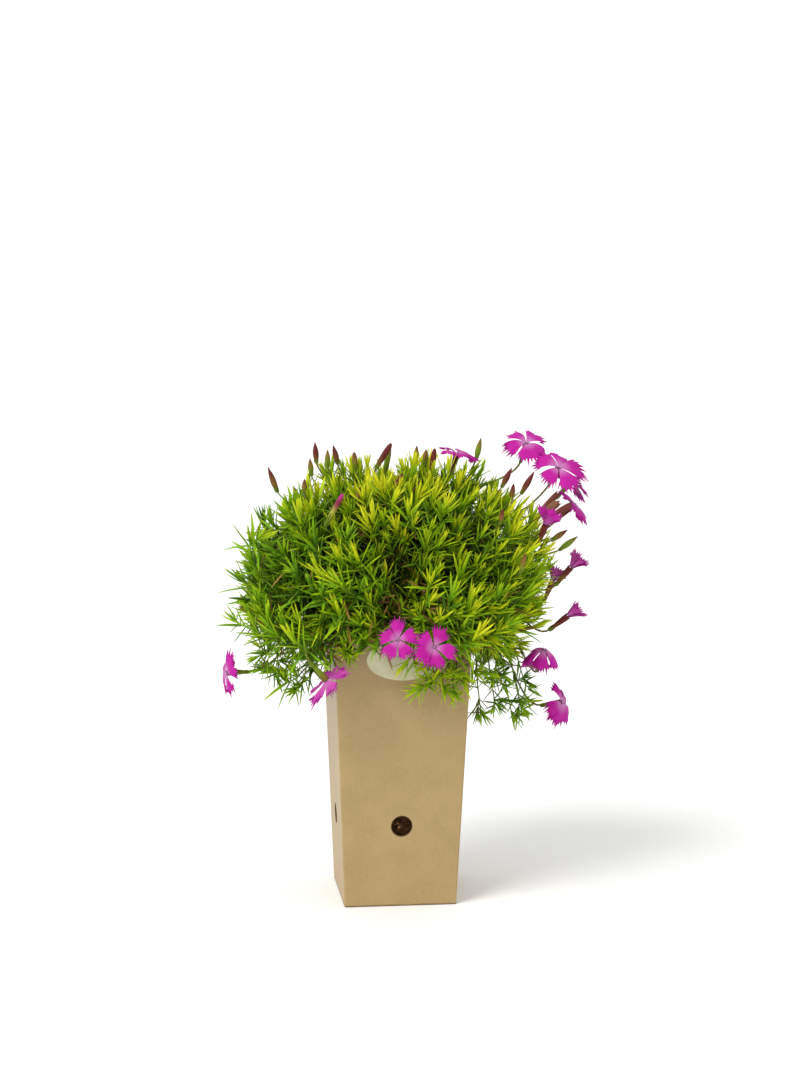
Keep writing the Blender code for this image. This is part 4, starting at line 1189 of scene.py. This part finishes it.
def ribbed_form(start, end, radii, shares, sides, mouth, tint):
    """A closed turned form from start to end. Ribs make the radius vary by 4 % around, and mouth, in mm,
    is how far five teeth reach past the last ring. With a mouth, the form is hollow at its end."""
    start, end = np.array(start, float), np.array(end, float)
    length = np.linalg.norm(end - start)
    turn = turns(sides)
    tooth = 1 - np.abs((turn * PETALS / np.pi) % 2 - 1)
    shares = np.asarray(shares, float)[:, None]
    level = np.asarray(radii)[:, None] * (1 + 0.04 * np.cos(turn * CALYX_RIBS))
    rise = shares * length + mouth * tooth * np.clip((shares - 0.7) / 0.3, 0, 1)
    local = np.stack((*polar(turn, level), rise), -1)
    sunk = MOUTH_DEPTH if mouth > 0 else 0.0
    ends = turned(np.array(((0, 0, 0), (0, 0, length * shares[-1, 0] - sunk))), start, end - start, 0)
    uv = np.stack(np.broadcast_arrays(turn[None] / (2 * np.pi), shares), -1)
    return closed_rings(turned(local, start, end - start, 0), ends[0], ends[1], uv, tint)


def scales_at(base, axis, reach, length, width, tint, rng):
    """Four pointed scales that clasp the foot of a calyx or bud."""
    axis = unit(axis)
    side = unit(np.cross(axis, (0.3, 0.5, 0.8)))
    turn = turns(4)[:, None] + rng.uniform(0, 1)
    away = side * np.cos(turn) + np.cross(axis, side) * np.sin(turn)
    one = np.ones(4)
    scales = leaf_blades(base + away * reach - axis * 0.8, unit(axis + away * 0.12), unit(axis * 0.12 - away),
                         length * one, width * one, 0 * one, 0 * one, np.tile(tint, (4, 1)))
    scales.tint[:, 3] = 1
    return scales


calyx = Finish("calyx", 0.5, 0.18)
redness = calyx.tint("Red")
pink_tip = calyx.tint("Blue")
fresh_skin = calyx.tint("Alpha")
up_calyx = calyx.along("Y")
calyx_rib = (calyx.along("X") * (CALYX_RIBS * 2 * math.pi)).wave()
calyx_mottle = calyx.noise(0.7, 3.0)
blush = redness * 1.15 + (up_calyx - 0.5) * 0.85 + (calyx_mottle - 0.5) * 0.5 - calyx_rib * 0.12
calyx.wear(
    (0.150, 0.230, 0.012),
    (blush.step(0.15, 0.62), (0.200, 0.115, 0.018)),
    (blush.step(0.52, 1.10), (0.120, 0.016, 0.014)),
    (pink_tip * 0.7, (0.40, 0.38, 0.05)),
    ((up_calyx * pink_tip).step(0.38, 0.70), (0.20, 0.020, 0.045)),
    ((up_calyx * pink_tip).step(0.74, 0.97), (0.44, 0.020, 0.22)),
    (1 - fresh_skin, (0.21, 0.090, 0.045)),
    roughness=calyx_mottle * 0.2 + 0.4,
    bump=calyx_rib + calyx_mottle,
    depth=0.10,
)

# %% Stalks with their calyces
CALYX_RADII = (0.70, 0.95, 1.25, 1.50, 1.72, 1.90, 2.05, 2.15)
CALYX_SHARES = (0, 0.10, 0.25, 0.40, 0.55, 0.70, 0.85, 1.0)


def stalk_foot(name, throat):
    """Where the CAD stalk comes out of its branch: the middle of its points farthest from the throat."""
    points = np.array([v.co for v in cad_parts[f"stalk_{name}"].data.vertices]) / MM
    return points[np.linalg.norm(points - throat, axis=1).argsort()[-12:]].mean(0)


rng = np.random.default_rng(41)
for name, (throat, facing, opening, _, freshness, _) in BLOOMS.items():
    axis = unit(facing)
    foot = stalk_foot(name, throat)
    base = throat - axis * CALYX_LENGTH
    brown = opening < 0.6 or name in ("top", "right_upper", "shoulder")
    red = rng.uniform(0.65, 0.95) if brown else rng.uniform(0.15, 0.45)
    span = np.linalg.norm(base - foot)
    out_way = unit(foot - HEART)
    line = np.array((foot, foot + out_way * span * 0.35, base - axis * span * 0.3, base + axis * 0.6))[None]
    whole = cubic_tubes(line, 16, 0.58, 0.66, 7, (red * 0.3, rng.uniform(), 0, 1))
    withered = 0.25 if freshness < 0.3 else 1.0
    whole = whole + ribbed_form(base, throat - axis * 0.6, CALYX_RADII, CALYX_SHARES, 30, 1.4,
                                (red, rng.uniform(), 0, withered))
    whole = whole + scales_at(base, axis, 0.75, 5.0, 1.9, (red * 0.4, rng.uniform(), 0, 1), rng)
    halfway = np.array([[0.55]])
    joint, way = bezier(line, halfway)[0, 0], bezier_way(line, halfway)[0, 0]
    pair = scales_at(joint, way, 0.4, 6.0, 1.2, (0, 0.5, 0, 1), rng)
    add_piece(f"calyx_{name}", whole + pair, calyx.material, [f"stalk_{name}"])
print("calyces and stalks made")

# %% Closed buds
BUD_SHARES = np.array((0, 0.10, 0.24, 0.40, 0.56, 0.72, 0.86, 0.95, 1))
POINTED = np.array((0.34, 0.62, 0.92, 1.0, 0.92, 0.68, 0.38, 0.20, 0.07))
BLUNT = np.array((0.34, 0.60, 0.84, 0.96, 1.0, 0.98, 0.88, 0.66, 0.30))


def bud_with_stalk(base, tip, red, blunt, rng):
    """A spindle-shaped bud, its clasping scales and its thin stalk down into the cushion."""
    base, tip = np.array(base, float), np.array(tip, float)
    axis = unit(tip - base)
    pink = float(red < -0.5)
    red = 0.1 if pink else red
    length = np.linalg.norm(tip - base)
    thick = min(2.0, 0.82 + length * 0.092) * (1 - 0.14 * pink)
    radii = thick * (POINTED * (1 - blunt) + BLUNT * blunt)
    bud = ribbed_form(base, tip, radii, BUD_SHARES, 20, 0.0, (red, rng.uniform(), pink, 1))
    bud = bud + scales_at(base, axis, thick * 0.40, length * 0.42, 1.7, (red * 0.5, rng.uniform(), 0, 1), rng)
    inward = HEART + (base - HEART) * 0.62
    line = (inward, inward * 0.5 + base * 0.5 + (0, 0, 2), base - axis * 6, base + axis * 0.5)
    return bud + cubic_tubes(line, 10, 0.52, 0.52, 6, (red * 0.25, 0.5, 0, 1))


rng = np.random.default_rng(77)
bud_branch, _ = nearest_branch(unit(np.array([base for base, *_ in BUDS]) - HEART))
for k in sorted(set(bud_branch)):
    joined = sum(bud_with_stalk(*bud, rng) for bud, owner in zip(BUDS, bud_branch) if owner == k)
    add_piece(f"buds_{k + 1:02d}", joined, calyx.material, [f"branch_{k + 1:02d}"])
print("buds:", len(BUDS))

# %% Withered blooms
# Three spent calyces still stand together among the blooms at the upper right: a dry and pale one with a wide
# mouth, and a slim dark red one on each side of it. Each row is the base, the mouth, the share of the full
# thickness, the redness and how fresh the skin is.
SPENT_RADII = np.array((0.7, 1.3, 1.8, 2.2, 2.5, 2.7, 2.8, 2.5))
SPENT = (
    ((92, -31, 257), (101, -31, 265), 1.15, 0.75, 0.05),
    ((90, -30, 259), (101, -32, 270), 0.66, 0.85, 0.75),
    ((95, -33, 255), (109, -34, 263), 0.74, 0.95, 0.85),
)
rng = np.random.default_rng(9)
spent = scales_at((92, -31, 257), (11, -1, 12), 0.8, 6.0, 2.0, (0.8, 0.5, 0, 1), rng)
for base, mouth, thick, red, fresh in SPENT:
    spent = spent + ribbed_form(base, mouth, thick * SPENT_RADII, CALYX_SHARES, 30, 2.6, (red, 0.5, 0, fresh))
line = ((66, -20, 236), (72, -24, 246), (86, -30, 251), (92, -31, 257))
spent = spent + cubic_tubes(line, 10, 0.55, 0.55, 6, (0.3, 0.5, 0, 1))
add_piece("withered_calyx", spent, calyx.material)

# %% [markdown]
# ## Soil and roots
#
# Potting soil is seen only through the pot's holes and in the dark under the cushion. It is a block whose top
# and sides are roughened, with loose crumbs, and a few reddish roots cross the holes.

# %% Soil
SOIL_ROOM = 0.15
soil = Finish("potting_soil", 0.92, 0.05)
crumb = soil.noise(0.45, 5.0, 0.7)
fine_crumb = soil.noise(1.9, 4.0, 0.7)
soil_fibre = soil.cells(0.5, (1, 1, 2.5)).step(0.22, 0.08)
soil.wear(
    (0.012, 0.005, 0.002),
    (crumb.step(0.35, 0.68), (0.060, 0.026, 0.009)),
    (fine_crumb.step(0.55, 0.75) * 0.5, (0.13, 0.060, 0.024)),
    (soil_fibre * crumb.step(0.5, 0.7) * 0.5, (0.22, 0.11, 0.05)),
    bump=crumb + fine_crumb * 0.4,
    depth=1.2,
)


def soil_block(steps, levels, inner_rings=10):
    """A tapered square tube of soil, closed by its top. The square's edge is walked by its turn, and waves
    press the sides in by up to a millimetre and raise the top by two."""
    square = np.stack(polar(turns(steps) + np.pi / steps), -1)
    square = square / np.abs(square).max(1, keepdims=True)
    z = np.append(np.linspace(BOARD, SOIL_TOP, levels), np.full(inner_rings, SOIL_TOP))[:, None]
    share = np.append(np.ones(levels), np.linspace(0.96, 0.05, inner_rings))[:, None]
    half = (wall_at(z) - BOARD - SOIL_ROOM) * share
    x, y = square[None, :, 0] * half, square[None, :, 1] * half
    wave = np.sin(x * 0.9 + 1) * np.cos(y * 0.8 + z * 0.5) + 0.6 * np.sin(z * 1.3 + x * 1.7) * np.cos(y * 2.1)
    press = np.where(share == 1, 1 - 0.012 * (wave + 1.6), 1)
    rise = np.where(share < 1, 1.3 * wave - 1, 0)
    points = np.stack((x * press, y * press, np.broadcast_to(z, x.shape) + rise), -1)
    uv = np.zeros((*x.shape, 2))
    return closed_rings(points, (0, 0, BOARD), (0, 0, SOIL_TOP - 1), uv, (1, 1, 1, 1))


add_piece("soil_body", soil_block(160, 90), soil.material, ["soil"], sharp_above=180)

root_finish = Finish("root", 0.7)
root_grain = root_finish.noise(1.5, 3.0)
root_finish.wear(
    (0.20, 0.065, 0.025),
    (root_grain.step(0.3, 0.7), (0.38, 0.16, 0.07)),
    bump=root_grain,
    depth=0.15,
)
rng = np.random.default_rng(3)
roots = []
for turn in (-np.pi / 2, np.pi, np.pi / 2, 0):
    out_way = np.round((*polar(turn), 0))
    across_way = np.abs(out_way[[1, 0, 2]])
    face = out_way * (wall_at(HOLE_HEIGHT) - BOARD) + (0, 0, HOLE_HEIGHT)
    for thick in (0.55, 0.3, 0.25):
        offsets = 1.2 * rng.uniform(-5, 5, (4, 2))
        line = face + across_way * offsets[:, :1] + (0, 0, 1) * offsets[:, 1:]
        line = line - out_way * np.array((2.2, 0.5, 0.4, 2.4))[:, None]
        roots.append(cubic_tubes(line, 12, thick, thick, 6, (0, 0, 0, 1)))
add_piece("roots", sum(roots), root_finish.material)
print("soil and roots made")

# %% [markdown]
# ## Floor finish and closing
#
# The floor is plain matte white.

# %% Floor finish and closing
ground = Finish("studio_floor", 0.9, 0.1)
ground.shader.inputs["Base Color"].default_value = (0.93, 0.93, 0.925, 1)
floor.data.materials.append(ground.material)
